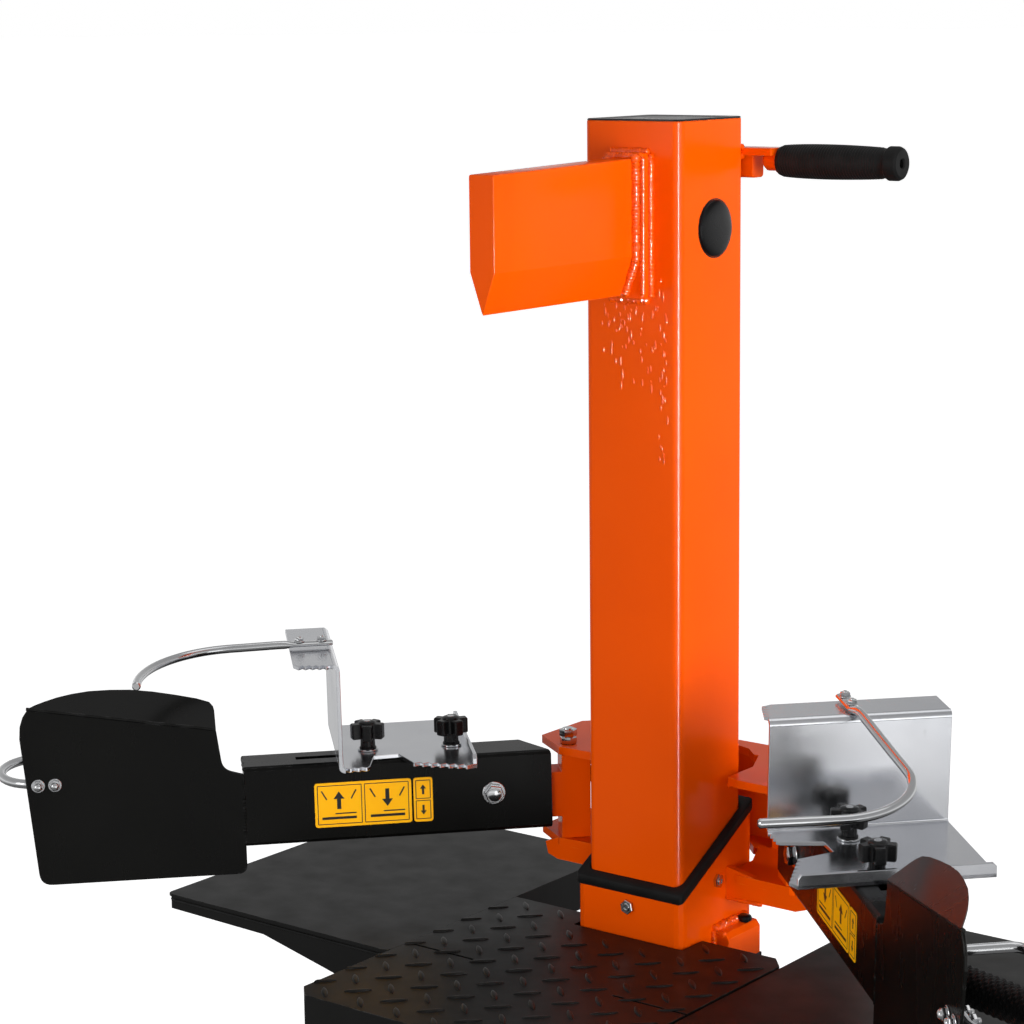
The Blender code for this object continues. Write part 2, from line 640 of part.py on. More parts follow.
def splitting_wedge(mast):
    """Wedge bar with a V edge below, welded to a thick foot plate on the mast."""
    top = TABLE_Z + 738 - MAST_TOP_Z
    edge = TABLE_Z + 613 - MAST_TOP_Z
    section = [(-13.5, top), (-13.5, edge + 37), (0, edge), (13.5, edge + 37), (13.5, top)]
    bm = bmesh.new()
    prism(bm, section, -272, -60, "XZ")
    for vert in bm.verts:
        if vert.co.y < -0.2 and vert.co.z > (edge + 60) * MM:
            vert.co.z -= 5 * MM
    wedge = finish("splitting_wedge", bm, "orange_paint", mast)
    foot = rounded(22, 66.5, 4, 1, (0, (610 + 743) / 2 + TABLE_Z - MAST_TOP_Z))
    join(wedge, solid(prism, foot, -67, -MAST_HALF - GAP, "XZ"))


def transport_handle(mast):
    """Bracket on the mast's back with the bar that holds the grip."""
    back = MAST_HALF + GAP
    bracket = [(back, HANDLE_Z + 12), (86, HANDLE_Z + 12), (86, HANDLE_Z + 5), (79, HANDLE_Z + 5), (79, HANDLE_Z - 16),
               (61, HANDLE_Z - 16), (61, HANDLE_Z + 5), (back, HANDLE_Z + 5)]
    bm = bmesh.new()
    prism(bm, bracket, -44, 82, "YZ")
    handle = finish("transport_handle", bm, "orange_paint", mast)
    join(handle, solid(round_bar, 9.5, 70, 198, "X", (0, HANDLE_Y, HANDLE_Z), 16))


def handle_grip(mast):
    bm = bmesh.new()
    lathe(bm, [(9.8, 83), (14, 83), (15.5, 100), (15.5, 165), (14, 188), (14, 192), (17, 195), (17, 209), (0, 211),
               (0, 198 + GAP), (9.8, 198 + GAP)], "X", (0, HANDLE_Y, HANDLE_Z), 20)
    finish("handle_grip", bm, "black_rubber", mast, smooth=True)


def piston_rod(mast):
    """Rod with its piston below and the eye above that takes the pin."""
    bm = bmesh.new()
    eye = ROD_PIN_Z - MAST_TOP_Z
    piston = 580 - MAST_TOP_Z
    profile = [(0, piston), (25.6, piston), (25.6, piston + 30), (15, piston + 32), (15, eye - 14), (0, eye - 14)]
    lathe(bm, profile, "Z", (0, CYLINDER_Y, 0), 20)
    made = finish("piston_rod", bm, "bright_steel", mast, smooth=True)
    join(made, solid(block, (-22, 22), (CYLINDER_Y - 20, CYLINDER_Y + 20), (eye - 22, eye + 22)))
    cut(made, solid(round_bar, 12.5, -60, 60, "X", (0, CYLINDER_Y, eye), 20))


def rod_pin(mast):
    bm = bmesh.new()
    round_bar(bm, 12.2, -MAST_HALF, MAST_HALF, "X", (0, CYLINDER_Y, ROD_PIN_Z - MAST_TOP_Z), 20)
    finish("rod_pin", bm, "bright_steel", mast, smooth=True)


# ---------------------------------------------------------------- control arms
# Inside an arm's empties X is u, Z is w and Y is n times the arm's side sign.

def arm_yoke(side_name, swing):
    """Upright block on the swing pin, with the tongue that enters the arm tube."""
    drop = -BOLT_Z
    bm = bmesh.new()
    block(bm, (-20, 9), (-14, 15), (PLATE_LOW + PLATE_T + GAP + drop, PLATE_HIGH - GAP + drop))
    yoke = finish(f"arm_yoke_{side_name}", bm, "orange_paint", swing)
    join(yoke, solid(block, (5, BOLT_U + 24), (-15, 15), (-31, 15)))
    cut(yoke, solid(round_bar, 7.4, -90, 60, "Z", (0, 0, 0)))
    cut(yoke, solid(round_bar, 6.4, -30, 30, "Y", (BOLT_U, 0, 0)))


def arm_tube(side_name, tilt, flip):
    """Tube with an oblique inner end and a knob slot on top, the grip's bar on its end plate, and a tail."""
    start, end = 20 - BOLT_U, TUBE_END - BOLT_U
    bm = bmesh.new()
    inside = rounded(TUBE_HALF_W - TUBE_WALL, TUBE_HALF_H - TUBE_WALL, 1.5, 2)
    tube(bm, rounded(TUBE_HALF_W, TUBE_HALF_H, 4, 2), inside, start, end, "YZ")
    made = finish(f"arm_tube_{side_name}", bm, "black_paint", tilt)
    wide, high = TUBE_HALF_W - 1, TUBE_HALF_H - 1
    join(made, solid(block, (end - 3, end), (-wide, wide), (-high, high)))
    direction = along_grip(flip)
    first, last = grip_point(TUBE_END - 4), grip_point(512)
    middle = (first + last) / 2
    turn = direction.to_track_quat("Z", "X").to_matrix().to_4x4()
    place = Matrix.Translation(Vector((middle.x - BOLT_U, flip * middle.y, middle.z)) * MM) @ turn
    bar = bmesh.new()
    bmesh.ops.create_cone(bar, cap_ends=True, segments=12, radius1=9 * MM, radius2=9 * MM,
                          depth=(last - first).length * MM, matrix=place)
    join(made, bar)
    corner = [(start - 5, flip * 30), (start - 5, flip * -30), (start + 32, flip * -30), (start, flip * 26)]
    cut(made, solid(prism, corner, -60, 60))
    tail = sorted((flip * -25, flip * -19.5))
    join(made, solid(block, (-40 - BOLT_U, start + 44), tail, (-8, 8)))
    slot = (SLOT_START - BOLT_U, SLOT_END - BOLT_U)
    cut(made, solid(block, slot, (-5, 5), (TUBE_HALF_H - 8, TUBE_HALF_H + 5)))
    cut(made, solid(round_bar, 6.4, -30, 30, "Y", (0, 0, 0)))


def tilt_bolt(side_name, tilt, flip):
    """Bolt through tube and tongue, with a washer, a nut and a head."""
    bm = bmesh.new()
    face = TUBE_HALF_W + GAP
    profile = [(0, -face - 9), (9, -face - 9), (9, -face), (6, -face), (6, face), (11.5, face), (11.5, face + 2),
               (8, face + 2), (8, face + 8), (0, face + 9)]
    lathe(bm, profile, "Y", (0, 0, 0), 18)
    if flip < 0:
        bmesh.ops.rotate(bm, verts=bm.verts, cent=(0, 0, 0), matrix=Matrix.Rotation(math.pi, 3, "Z"))
    finish(f"tilt_bolt_{side_name}", bm, "zinc_steel", tilt, smooth=True)


def hand_guard(side_name, tilt, flip):
    """Sheet panel in front of the hand with a sloping flange above it."""
    def fold(u):
        return 80 + (u - 348) * 0.172
    near = TUBE_END + GAP
    panel = [(near, -40), (near, -60), (near + 8, -67), (508, -65), (520, -62), (525, -52), (537, 92)]
    panel += [(529, fold(529)), (348, 80), (345, 48), (340, 38), (near, 34)]
    bm = bmesh.new()
    limits = sorted((flip * 22, flip * 25))
    prism(bm, [(u - BOLT_U, w) for u, w in panel], limits[0], limits[1], "XZ")
    guard = finish(f"hand_guard_{side_name}", bm, "black_paint", tilt)
    outline = [(349, 25), (349, 2), (353, -3), (382, -6), (414, -7), (442, -5), (471, 0), (491, 7), (514, 17)]
    outline.append((527, 25))
    flange = bmesh.new()
    prism(flange, [(u - BOLT_U, flip * n) for u, n in outline], 0, 3)
    for vert in flange.verts:
        rise = (25 - flip * vert.co.y / MM) * 0.78
        vert.co.z += (fold(vert.co.x / MM + BOLT_U) - 1.5 + rise) * MM
    join(guard, flange)
    for u in GUARD_BOLTS:
        cut(guard, solid(round_bar, 3.4, -40, 40, "Y", (u - BOLT_U, 0, GUARD_BOLT_W), 12))


def grip_point(u):
    """Place on the grip bar's axis at a distance u from the swing pin."""
    share = (u - GRIP_START[0]) / (GRIP_END[0] - GRIP_START[0])
    return Vector([first + share * (last - first) for first, last in zip(GRIP_START, GRIP_END)])


def along_grip(flip):
    """Direction of the grip bar in the arm's frame."""
    direction = grip_point(GRIP_END[0]) - grip_point(GRIP_START[0])
    direction.y *= flip
    return direction.normalized()


def hand_loop(side_name, tilt, flip):
    """Round bar behind the guard: bolted at its outer end, it runs round the hand and back to the panel."""
    middle = (LOOP_FRONT + LOOP_BACK) / 2
    reach = (LOOP_FRONT - LOOP_BACK) / 2
    start = LOOP_OUTER - 36
    plan = [(GUARD_BOLTS[0] - 12, LOOP_FRONT), (start, LOOP_FRONT)]
    for u, n in arc((0, 0), 1, 67.5, -90, 7):
        plan.append((start + 36 * u, middle + reach * n))
    plan += [(LOOP_INNER + 15, LOOP_BACK), (LOOP_INNER + 4, LOOP_BACK + 4), (LOOP_INNER, LOOP_BACK + 15),
             (LOOP_INNER, 22 - GAP)]
    points = [(u - BOLT_U, flip * n, GUARD_BOLT_W) for u, n in plan]
    rod(f"hand_loop_{side_name}", points, LOOP_R, "zinc_steel", tilt, sides=2)


def control_grip(side_name, tilt, flip):
    """Rubber sleeve with a closed end on the grip bar."""
    first = grip_point(368)
    length = (grip_point(520) - first).length
    bm = bmesh.new()
    profile = [(9.3, 0), (15, 0), (16, 4), (16, length - 4), (15, length), (0, length), (0, length - 6)]
    profile.append((9.3, length - 6))
    lathe(bm, profile, "X", (0, 0, 0), 16)
    grip = finish(f"control_grip_{side_name}", bm, "black_rubber", tilt, smooth=True)
    grip.location = Vector((first.x - BOLT_U, flip * first.y, first.z)) * MM
    grip.rotation_mode = "QUATERNION"
    grip.rotation_quaternion = along_grip(flip).to_track_quat("X", "Z")


def toothed(start, end, teeth, depth):
    """Points of a saw-toothed line between two places in plan."""
    first, last = Vector(start), Vector(end)
    along = last - first
    out = Vector((-along.y, along.x)).normalized() * depth
    if out.y < 0:
        out = -out
    points = []
    for tooth in range(teeth):
        points.append(tuple(first + along * (tooth / teeth)))
        points.append(tuple(first + along * ((tooth + 0.5) / teeth) + out))
    points.append(tuple(last))
    return points


def claw_bracket(side_name, claw, flip, way):
    """Galvanised Z-shaped holder: a toothed foot on the arm, an upright web and a toothed upper flange."""
    def lay(outline):
        return [(way * d, flip * n) for d, n in outline]
    foot = [(0, 66), (26, 64), (33, 24), (57, 22)] + toothed((67, 52), (124, 76), 6, 4)
    foot += [(129, 74), (129, -101), (0, -101)]
    bm = bmesh.new()
    prism(bm, lay(foot), CLAW_W, CLAW_W + CLAW_T)
    made = finish(f"claw_bracket_{side_name}", bm, "zinc_steel", claw)
    web = sorted((0.0, -way * CLAW_T))
    side_limits = sorted((flip * -101, flip * 66))
    join(made, solid(block, web, side_limits, (CLAW_W, CLAW_TOP)))
    upper = [(-2, -101), (-2, 66)] + toothed((-8, 66), (-40, 60), 4, 4) + [(-44, 56), (-44, -101)]
    join(made, solid(prism, lay(upper), CLAW_TOP - CLAW_T, CLAW_TOP))
    lip = sorted((way * 129, way * 125))
    join(made, solid(block, lip, sorted((flip * -101, flip * 74)), (CLAW_W, CLAW_W + 13)))
    for distance in (KNOB_NEAR, KNOB_FAR):
        cut(made, solid(round_bar, 4.6, CLAW_W - 5, CLAW_W + 10, "Z", (way * distance, 0, 0), 12))


def claw_knob(name, claw, distance, way):
    """Round clamping knob on its stud, with a washer and a square nut inside the tube."""
    axis = empty(f"{name}_axis", (way * distance, 0, 0), parent=claw)
    top = CLAW_W + CLAW_T + GAP
    inside = TUBE_HALF_H - TUBE_WALL - GAP
    bm = bmesh.new()
    profile = [(0, inside - 9), (9, inside - 9), (9, inside), (4, inside), (4, top), (10, top), (10, top + 2)]
    profile += [(7, top + 3), (7, top + 9), (14, top + 11), (17, top + 14), (17, top + 26), (15, top + 29)]
    profile.append((0, top + 30))
    lathe(bm, profile, "Z", (0, 0, 0), 18)
    finish(name, bm, "black_plastic", axis, smooth=True)


def hook_rod(side_name, claw, flip, way):
    """Round bar bolted on the claw's flange, reaching outwards and curving round to the log side."""
    level = CLAW_TOP + GAP + HOOK_R
    bolted = sum(HOOK_BOLTS) / 2 * -way
    reach, side_step, bend_u, bend_n, tail, slope = HOOK_ROUTE[side_name]
    bend = bolted + reach
    route = [(bolted - 20, -12), (bolted + 20, -12), (bolted + 33, -12 + (side_step + 12) * 0.12)]
    route.append((bend, side_step))
    for angle in (15, 30, 45, 60, 75, 90):
        turn = math.radians(angle)
        route.append((bend + bend_u * math.sin(turn), side_step + bend_n * (1 - math.cos(turn))))
    if tail:
        route.append((bend + bend_u - 2, side_step + bend_n + tail))
    points = [(u, flip * n, level - max(0.0, u - bolted - 33) * slope) for u, n in route]
    rod(f"hook_rod_{side_name}", points, HOOK_R, "zinc_steel", claw, sides=2)


def control_arm(side_name):
    """Everything that hangs on one swing pin."""
    side, angle, tilt_angle = ARM_SIDES[side_name]
    flip = 1 if side < 0 else -1
    turn = 180 + angle if side < 0 else -angle
    swing = empty(f"swing_axis_{side_name}", (side * PIVOT_X, PIVOT_Y, BOLT_Z), (0, 0, turn))
    tilt = empty(f"tilt_axis_{side_name}", (BOLT_U, 0, 0), (0, tilt_angle, 0), swing)
    web, way = CLAW_WEB[side_name]
    claw = empty(f"claw_slide_{side_name}", (web - BOLT_U, 0, 0), parent=tilt)
    arm_yoke(side_name, swing)
    arm_tube(side_name, tilt, flip)
    tilt_bolt(side_name, tilt, flip)
    hand_guard(side_name, tilt, flip)
    hand_loop(side_name, tilt, flip)
    control_grip(side_name, tilt, flip)
    claw_bracket(side_name, claw, flip, way)
    claw_knob(f"knob_near_{side_name}", claw, KNOB_NEAR, way)
    claw_knob(f"knob_far_{side_name}", claw, KNOB_FAR, way)
    hook_rod(side_name, claw, flip, way)
    trip_lever(side_name, side, tilt_angle)


def main():
    for old in list(bpy.data.objects):
        bpy.data.objects.remove(old)
    base_plate()
    base_strip()
    fixed_column()
    collar_seal()
    for name in GUIDE_SCREWS:
        guide_screw(name)
    bracket_frame()
    swing_pin("swing_pin_left", -1)
    swing_pin("swing_pin_right", 1)
    checker_table()
    side_table("side_table_left", -1)
    side_table("side_table_right", 1)
    lock_pin()
    axle()
    wheel("wheel_left", -1)
    wheel("wheel_right", 1)
    oil_tank()
    oil_cap()
    gear_pump()
    motor_body()
    motor_fan_cover()
    switch_box()
    for name, (y, slot) in BUTTONS.items():
        button(name, y, slot)
    power_inlet()
    valve_block()
    valve_spool()
    pressure_pipe()
    cylinder_barrel()
    mast = empty("mast_axis", (0, 0, MAST_TOP_Z))
    mast_tube(mast)
    mast_cap(mast)
    pin_plug("pin_plug_left", -1, mast)
    pin_plug("pin_plug_right", 1, mast)
    splitting_wedge(mast)
    transport_handle(mast)
    handle_grip(mast)
    piston_rod(mast)
    rod_pin(mast)
    for side_name in ARM_SIDES:
        control_arm(side_name)


main()
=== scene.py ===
"""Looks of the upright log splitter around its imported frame. Shapes are written in millimetres."""

import json
import math
import random

import bmesh
import bpy
from mathutils import Matrix, Vector


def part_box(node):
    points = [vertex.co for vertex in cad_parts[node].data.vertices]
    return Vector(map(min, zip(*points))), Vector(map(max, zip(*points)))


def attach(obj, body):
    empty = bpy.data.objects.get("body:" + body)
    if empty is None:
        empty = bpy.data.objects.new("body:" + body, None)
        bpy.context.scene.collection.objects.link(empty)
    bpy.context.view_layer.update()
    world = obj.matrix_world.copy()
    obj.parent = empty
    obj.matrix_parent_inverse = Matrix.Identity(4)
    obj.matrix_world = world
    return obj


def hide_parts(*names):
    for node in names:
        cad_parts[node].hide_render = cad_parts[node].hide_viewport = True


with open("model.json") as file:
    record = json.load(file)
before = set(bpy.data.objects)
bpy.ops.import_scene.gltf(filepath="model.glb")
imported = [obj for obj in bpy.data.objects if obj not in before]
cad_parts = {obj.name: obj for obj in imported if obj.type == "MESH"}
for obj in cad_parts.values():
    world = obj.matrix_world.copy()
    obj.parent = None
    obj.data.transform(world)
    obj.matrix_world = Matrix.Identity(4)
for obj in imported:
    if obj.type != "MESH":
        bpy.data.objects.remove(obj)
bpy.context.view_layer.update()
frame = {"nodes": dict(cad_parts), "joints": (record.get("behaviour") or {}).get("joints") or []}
MM = 0.001
NODES = frame["nodes"]
JOINTS = {joint["name"]: joint for joint in frame["joints"]}
chance = random.Random(11)
TAU = math.tau
SIDES = (("left", -1), ("right", 1))
IDENTITY = Matrix.Identity(4)
WORLD = Matrix.Scale(MM, 4)


def axes(x, y, z, origin=(0, 0, 0)):
    """Turns local X, Y and Z to these directions, at a point."""
    return Matrix((*zip(x, y, z, origin), (0, 0, 0, 1)))


FROM_SIDE = axes((0, 1, 0), (0, 0, 1), (1, 0, 0))       # outline in YZ, thickness along X
FROM_FRONT = axes((1, 0, 0), (0, 0, 1), (0, -1, 0))     # outline in XZ, thickness along -Y
FROM_BACK = axes((1, 0, 0), (0, 0, 1), (0, 1, 0))       # outline in XZ, thickness along Y


def spin(degrees, axis="Z"):
    return Matrix.Rotation(math.radians(degrees), 4, axis)


def turned(angle):
    return Matrix.Rotation(angle, 4, "Z")


def shift(x, y, z):
    return Matrix.Translation((x, y, z))


# ---------------------------------------------------------------- camera, fitted to the photo's edges

CAMERA_AT = Vector((1.426, -2.059, 1.578))
CAMERA_TURN, CAMERA_DOWN, CAMERA_ROLL = 38.008, 10.284, -0.647      # degrees
LENS, SENSOR, FAR_CLIP = 94.5, 36, 900


def make_camera():
    turn, down, roll = (math.radians(angle) for angle in (CAMERA_TURN, CAMERA_DOWN, CAMERA_ROLL))
    ahead = Vector((-math.sin(turn) * math.cos(down), math.cos(turn) * math.cos(down), -math.sin(down)))
    level = Vector((math.cos(turn), math.sin(turn), 0))
    upright = level.cross(ahead)
    right = level * math.cos(roll) + upright * math.sin(roll)
    up = upright * math.cos(roll) - level * math.sin(roll)
    lens = bpy.data.cameras.new("camera")
    lens.lens = LENS
    lens.sensor_width = SENSOR
    lens.clip_end = FAR_CLIP
    made = bpy.data.objects.new("camera", lens)
    bpy.context.scene.collection.objects.link(made)
    made.matrix_world = axes(right, up, -ahead, CAMERA_AT)
    bpy.context.scene.camera = made


make_camera()

# ---------------------------------------------------------------- materials


class Shade:
    """Strings shader nodes together for one finish. Scales are cycles per metre."""

    def __init__(self, name, metallic=0.0, specular=0.5, coat=0.0, coat_roughness=0.1):
        self.material = bpy.data.materials.new(name)
        self.material.use_nodes = True
        self.tree = self.material.node_tree
        self.core = self.tree.nodes["Principled BSDF"]
        self.core.inputs["Metallic"].default_value = metallic
        self.core.inputs["Specular IOR Level"].default_value = specular
        self.core.inputs["Coat Weight"].default_value = coat
        self.core.inputs["Coat Roughness"].default_value = coat_roughness
        self.here = self.add("ShaderNodeTexCoord").outputs["Object"]
        self.normal = None

    def add(self, kind, **values):
        node = self.tree.nodes.new(kind)
        for key, value in values.items():
            setattr(node, key, value)
        return node

    def link(self, source, target):
        self.tree.links.new(source, target)

    def place(self, stretch):
        if stretch is None:
            return self.here
        node = self.add("ShaderNodeMapping")
        node.inputs["Scale"].default_value = stretch
        self.link(self.here, node.inputs["Vector"])
        return node.outputs["Vector"]

    def noise(self, scale, detail=4.0, stretch=None, distortion=0.0):
        node = self.add("ShaderNodeTexNoise")
        node.inputs["Scale"].default_value = scale
        node.inputs["Detail"].default_value = detail
        node.inputs["Distortion"].default_value = distortion
        self.link(self.place(stretch), node.inputs["Vector"])
        return node.outputs["Fac"]

    def span(self, source, low, high, start=0.3, end=0.7):
        node = self.add("ShaderNodeMapRange")
        for key, value in (("From Min", start), ("From Max", end), ("To Min", low), ("To Max", high)):
            node.inputs[key].default_value = value
        self.link(source, node.inputs["Value"])
        return node.outputs["Result"]

    def mix(self, factor, first, second):
        node = self.add("ShaderNodeMix", data_type="RGBA")
        self.link(factor, node.inputs["Factor"])
        for value, socket in ((first, node.inputs[6]), (second, node.inputs[7])):
            if isinstance(value, tuple):
                socket.default_value = (*value, 1.0)
            else:
                self.link(value, socket)
        return node.outputs[2]

    def product(self, first, second):
        node = self.add("ShaderNodeMath", operation="MULTIPLY")
        self.link(first, node.inputs[0])
        self.link(second, node.inputs[1])
        return node.outputs[0]

    def edge(self, width):
        """1 along edges and 0 on faces: where a rounded normal leaves the true one."""
        soft = self.add("ShaderNodeBevel", samples=4)
        soft.inputs["Radius"].default_value = width * MM
        hard = self.add("ShaderNodeNewGeometry")
        dot = self.add("ShaderNodeVectorMath", operation="DOT_PRODUCT")
        self.link(soft.outputs["Normal"], dot.inputs[0])
        self.link(hard.outputs["Normal"], dot.inputs[1])
        return self.span(dot.outputs["Value"], 1.0, 0.0, 0.86, 0.995)

    def bump(self, source, height, strength=1.0):
        node = self.add("ShaderNodeBump")
        node.inputs["Distance"].default_value = height * MM
        node.inputs["Strength"].default_value = strength
        self.link(source, node.inputs["Height"])
        if self.normal is not None:
            self.link(self.normal, node.inputs["Normal"])
        self.normal = node.outputs["Normal"]

    def done(self, colour, roughness):
        self.link(colour, self.core.inputs["Base Color"])
        self.link(roughness, self.core.inputs["Roughness"])
        if self.normal is not None:
            self.link(self.normal, self.core.inputs["Normal"])
        return self.material


def painted(name, dark, light, edge_wear_highlight_colour, smooth, rough, specular, peel, coat=0.0):
    """Powder coat: slow colour drift, orange peel, a few dust specks, and a lighter colour along the edges
    that is partly thin wear and partly a painted highlight.
    """
    shade = Shade(name, specular=specular, coat=coat, coat_roughness=0.08)
    drift = shade.span(shade.noise(7, 3), 0, 1)
    base = shade.mix(drift, dark, light)
    # lighter edges: thin wear, plus a painted highlight where the edges catch the light
    edge_wear_highlight_mask = shade.product(shade.edge(1.3), shade.span(shade.noise(90, 6), 0, 0.8, 0.46, 0.62))
    colour = shade.mix(edge_wear_highlight_mask, base, edge_wear_highlight_colour)
    shade.bump(shade.noise(520, 2), peel, 0.5)
    shade.bump(shade.noise(60, 3), peel * 2, 0.25)
    rub = shade.span(shade.noise(28, 6, (1, 1, 0.35)), smooth, rough)
    return shade.done(colour, rub)


def galvanised(name, bright, dull, smooth, rough):
    """Zinc on sheet steel: soft clouds, rolling streaks and a few dull spots."""
    shade = Shade(name, metallic=1.0)
    cloud = shade.span(shade.noise(9, 3, distortion=0.6), 0, 1)
    base = shade.mix(cloud, bright, dull)
    dusty = shade.span(shade.noise(120, 4), 0, 0.25, 0.62, 0.78)
    colour = shade.mix(dusty, base, tuple(0.8 * part for part in dull))
    shade.bump(shade.noise(300, 3, (0.2, 0.2, 3.0)), 0.008, 0.25)
    return shade.done(colour, shade.span(shade.noise(24, 4), smooth, rough))


def turned_steel(name):
    """Ground bar: bright, with fine rings along its length."""
    shade = Shade(name, metallic=1.0)
    base = shade.mix(shade.span(shade.noise(40, 4), 0, 1), (0.60, 0.61, 0.62), (0.76, 0.77, 0.78))
    shade.bump(shade.noise(900, 2, (0.1, 0.1, 2.0)), 0.01, 0.4)
    return shade.done(base, shade.span(shade.noise(90, 4), 0.12, 0.26))


def moulded(name, dark, light, smooth, rough, grain, height, specular=0.45):
    """Plastic or rubber: faint mottling, moulded grain and scuffed edges."""
    shade = Shade(name, specular=specular)
    base = shade.mix(shade.span(shade.noise(35, 5), 0, 1), dark, light)
    scuffed = shade.product(shade.edge(0.8), shade.span(shade.noise(140, 4), 0, 0.5))
    colour = shade.mix(scuffed, base, tuple(min(1.0, 2.2 * part + 0.02) for part in light))
    shade.bump(shade.noise(grain, 3), height, 0.5)
    return shade.done(colour, shade.span(shade.noise(50, 5), smooth, rough))


def cast(name):
    """Sand-cast aluminium: coarse grain, darker in the hollows."""
    shade = Shade(name, metallic=1.0)
    grain = shade.noise(420, 6)
    base = shade.mix(shade.span(grain, 0, 1), (0.28, 0.29, 0.30), (0.50, 0.51, 0.52))
    shade.bump(grain, 0.25, 0.6)
    shade.bump(shade.noise(60, 3), 0.3, 0.3)
    return shade.done(base, shade.span(shade.noise(120, 4), 0.42, 0.62))


def label_print(name):
    """Printed film: even yellow, very slightly uneven gloss."""
    shade = Shade(name, specular=0.25)
    base = shade.mix(shade.span(shade.noise(30, 3), 0, 1), (0.97, 0.44, 0.0), (1.0, 0.49, 0.001))
    shade.bump(shade.noise(250, 2), 0.02, 0.4)
    return shade.done(base, shade.span(shade.noise(80, 3), 0.28, 0.4))


COAT, COAT_LIGHT = (0.78, 0.076, 0.0), (0.83, 0.086, 0.0)
# the third colour of each coat is its edges' colour: partly wear, partly a painted highlight
ORANGE = painted("orange_coat", COAT, COAT_LIGHT, (0.85, 0.20, 0.03),
                 smooth=0.14, rough=0.26, specular=0.07, peel=0.04)
ORANGE_WET = painted("orange_drip", COAT, COAT_LIGHT, (0.85, 0.14, 0.01),
                     smooth=0.10, rough=0.18, specular=0.25, peel=0.05, coat=0.3)
BLACK = painted("black_coat", (0.0015, 0.0015, 0.0013), (0.003, 0.003, 0.0026), (0.05, 0.05, 0.05),
                smooth=0.24, rough=0.29, specular=0.16, peel=0.015)
# also laid on the guards' bends as a painted highlight
GREY = painted("table_coat", (0.0030, 0.0030, 0.0028), (0.006, 0.006, 0.0055), (0.06, 0.06, 0.06),
               smooth=0.34, rough=0.44, specular=0.18, peel=0.04)
ZINC = galvanised("zinc_sheet", (0.80, 0.81, 0.84), (0.70, 0.715, 0.75), smooth=0.17, rough=0.25)
ZINC_BAR = galvanised("zinc_bar", (0.74, 0.745, 0.75), (0.60, 0.61, 0.63), smooth=0.13, rough=0.22)
STEEL = turned_steel("ground_steel")
RUBBER = moulded("soft_rubber", (0.005,) * 3, (0.010,) * 3, 0.44, 0.60, grain=700, height=0.06, specular=0.15)
TYRE = moulded("tyre_rubber", (0.016, 0.016, 0.015), (0.030, 0.029, 0.028), 0.62, 0.82,
               grain=500, height=0.15, specular=0.3)
PLASTIC = moulded("black_plastic", (0.0015, 0.0015, 0.0017), (0.004, 0.004, 0.0044), 0.22, 0.34,
                  grain=900, height=0.03, specular=0.28)
GREEN = moulded("green_button", (0.01, 0.26, 0.05), (0.02, 0.33, 0.07), 0.25, 0.35, grain=500, height=0.02)
RED = moulded("red_button", (0.50, 0.012, 0.010), (0.62, 0.02, 0.015), 0.25, 0.35, grain=500, height=0.02)
CAST = cast("cast_aluminium")
LABEL = label_print("label_yellow")
INK = moulded("label_ink", (0.008,) * 3, (0.013,) * 3, 0.35, 0.5, grain=400, height=0.01)
RIM = moulded("wheel_rim", (0.16, 0.165, 0.17), (0.22, 0.225, 0.23), 0.35, 0.5, grain=600, height=0.05)
MARK = moulded("button_mark", (0.75, 0.75, 0.74), (0.82, 0.82, 0.81), 0.35, 0.45, grain=500, height=0.01)

# ---------------------------------------------------------------- mesh helpers


def aim(origin, direction, twist=0.0):
    """Stands local Z along a direction at a point."""
    turn = Vector(direction).to_track_quat("Z", "X").to_matrix().to_4x4()
    return Matrix.Translation(Vector(origin)) @ turn @ spin(twist)


ON_AXIS = 1e-6                  # a smaller radius is a point on the axis


def polar(radius, angle):
    """The point at a radius and an angle in radians."""
    return radius * math.cos(angle), radius * math.sin(angle)


def circle(count):
    """Even angles round a full turn."""
    return [TAU * k / count for k in range(count)]


def skin(bm, first, second):
    """Faces between two closed rings; a ring of one vertex makes a fan."""
    count = max(len(first), len(second))
    for i in range(count):
        j = (i + 1) % count
        if len(first) == 1:
            bm.faces.new((first[0], second[j], second[i]))
        elif len(second) == 1:
            bm.faces.new((first[i], first[j], second[0]))
        else:
            bm.faces.new((first[i], first[j], second[j], second[i]))


def loft(bm, rings, ends=True):
    """Skins a row of rings of points, and closes both ends."""
    made = [[bm.verts.new(point) for point in ring] for ring in rings]
    for first, second in zip(made, made[1:]):
        skin(bm, first, second)
    if ends:
        for ring in (made[0], made[-1]):
            if len(ring) > 2:
                bm.faces.new(ring)


def stack(bm, rows, place=WORLD, ends=True):
    """Skins a row of (outline in local XY, height)."""
    loft(bm, [[place @ Vector((x, y, z)) for x, y in outline] for outline, z in rows], ends)


def lathe(bm, profile, place=IDENTITY, steps=32, wave=lambda angle, height: 1.0):
    """Turns a profile of (radius, height) about local Z; wave(angle, height) scales the radius."""
    rings = []
    for radius, height in profile:
        if radius < ON_AXIS:
            rings.append([place @ Vector((0, 0, height))])
            continue
        rings.append([place @ Vector((*polar(radius * wave(angle, height), angle), height))
                      for angle in circle(steps)])
    loft(bm, rings, ends=False)


def prism(bm, outline, low, high, place=IDENTITY, chamfer=0.0):
    """A plate from a closed outline in local XY, with its rims broken by a small chamfer."""
    rings = [(low, 0.0), (high, 0.0)]
    if chamfer:
        rings = [(low, chamfer), (low + chamfer, 0.0), (high - chamfer, 0.0), (high, chamfer)]
    stack(bm, [(inset(outline, inward), z) for z, inward in rings], place)


HAIRPIN = 0.3                   # below this the two edges double back, and the corner stays


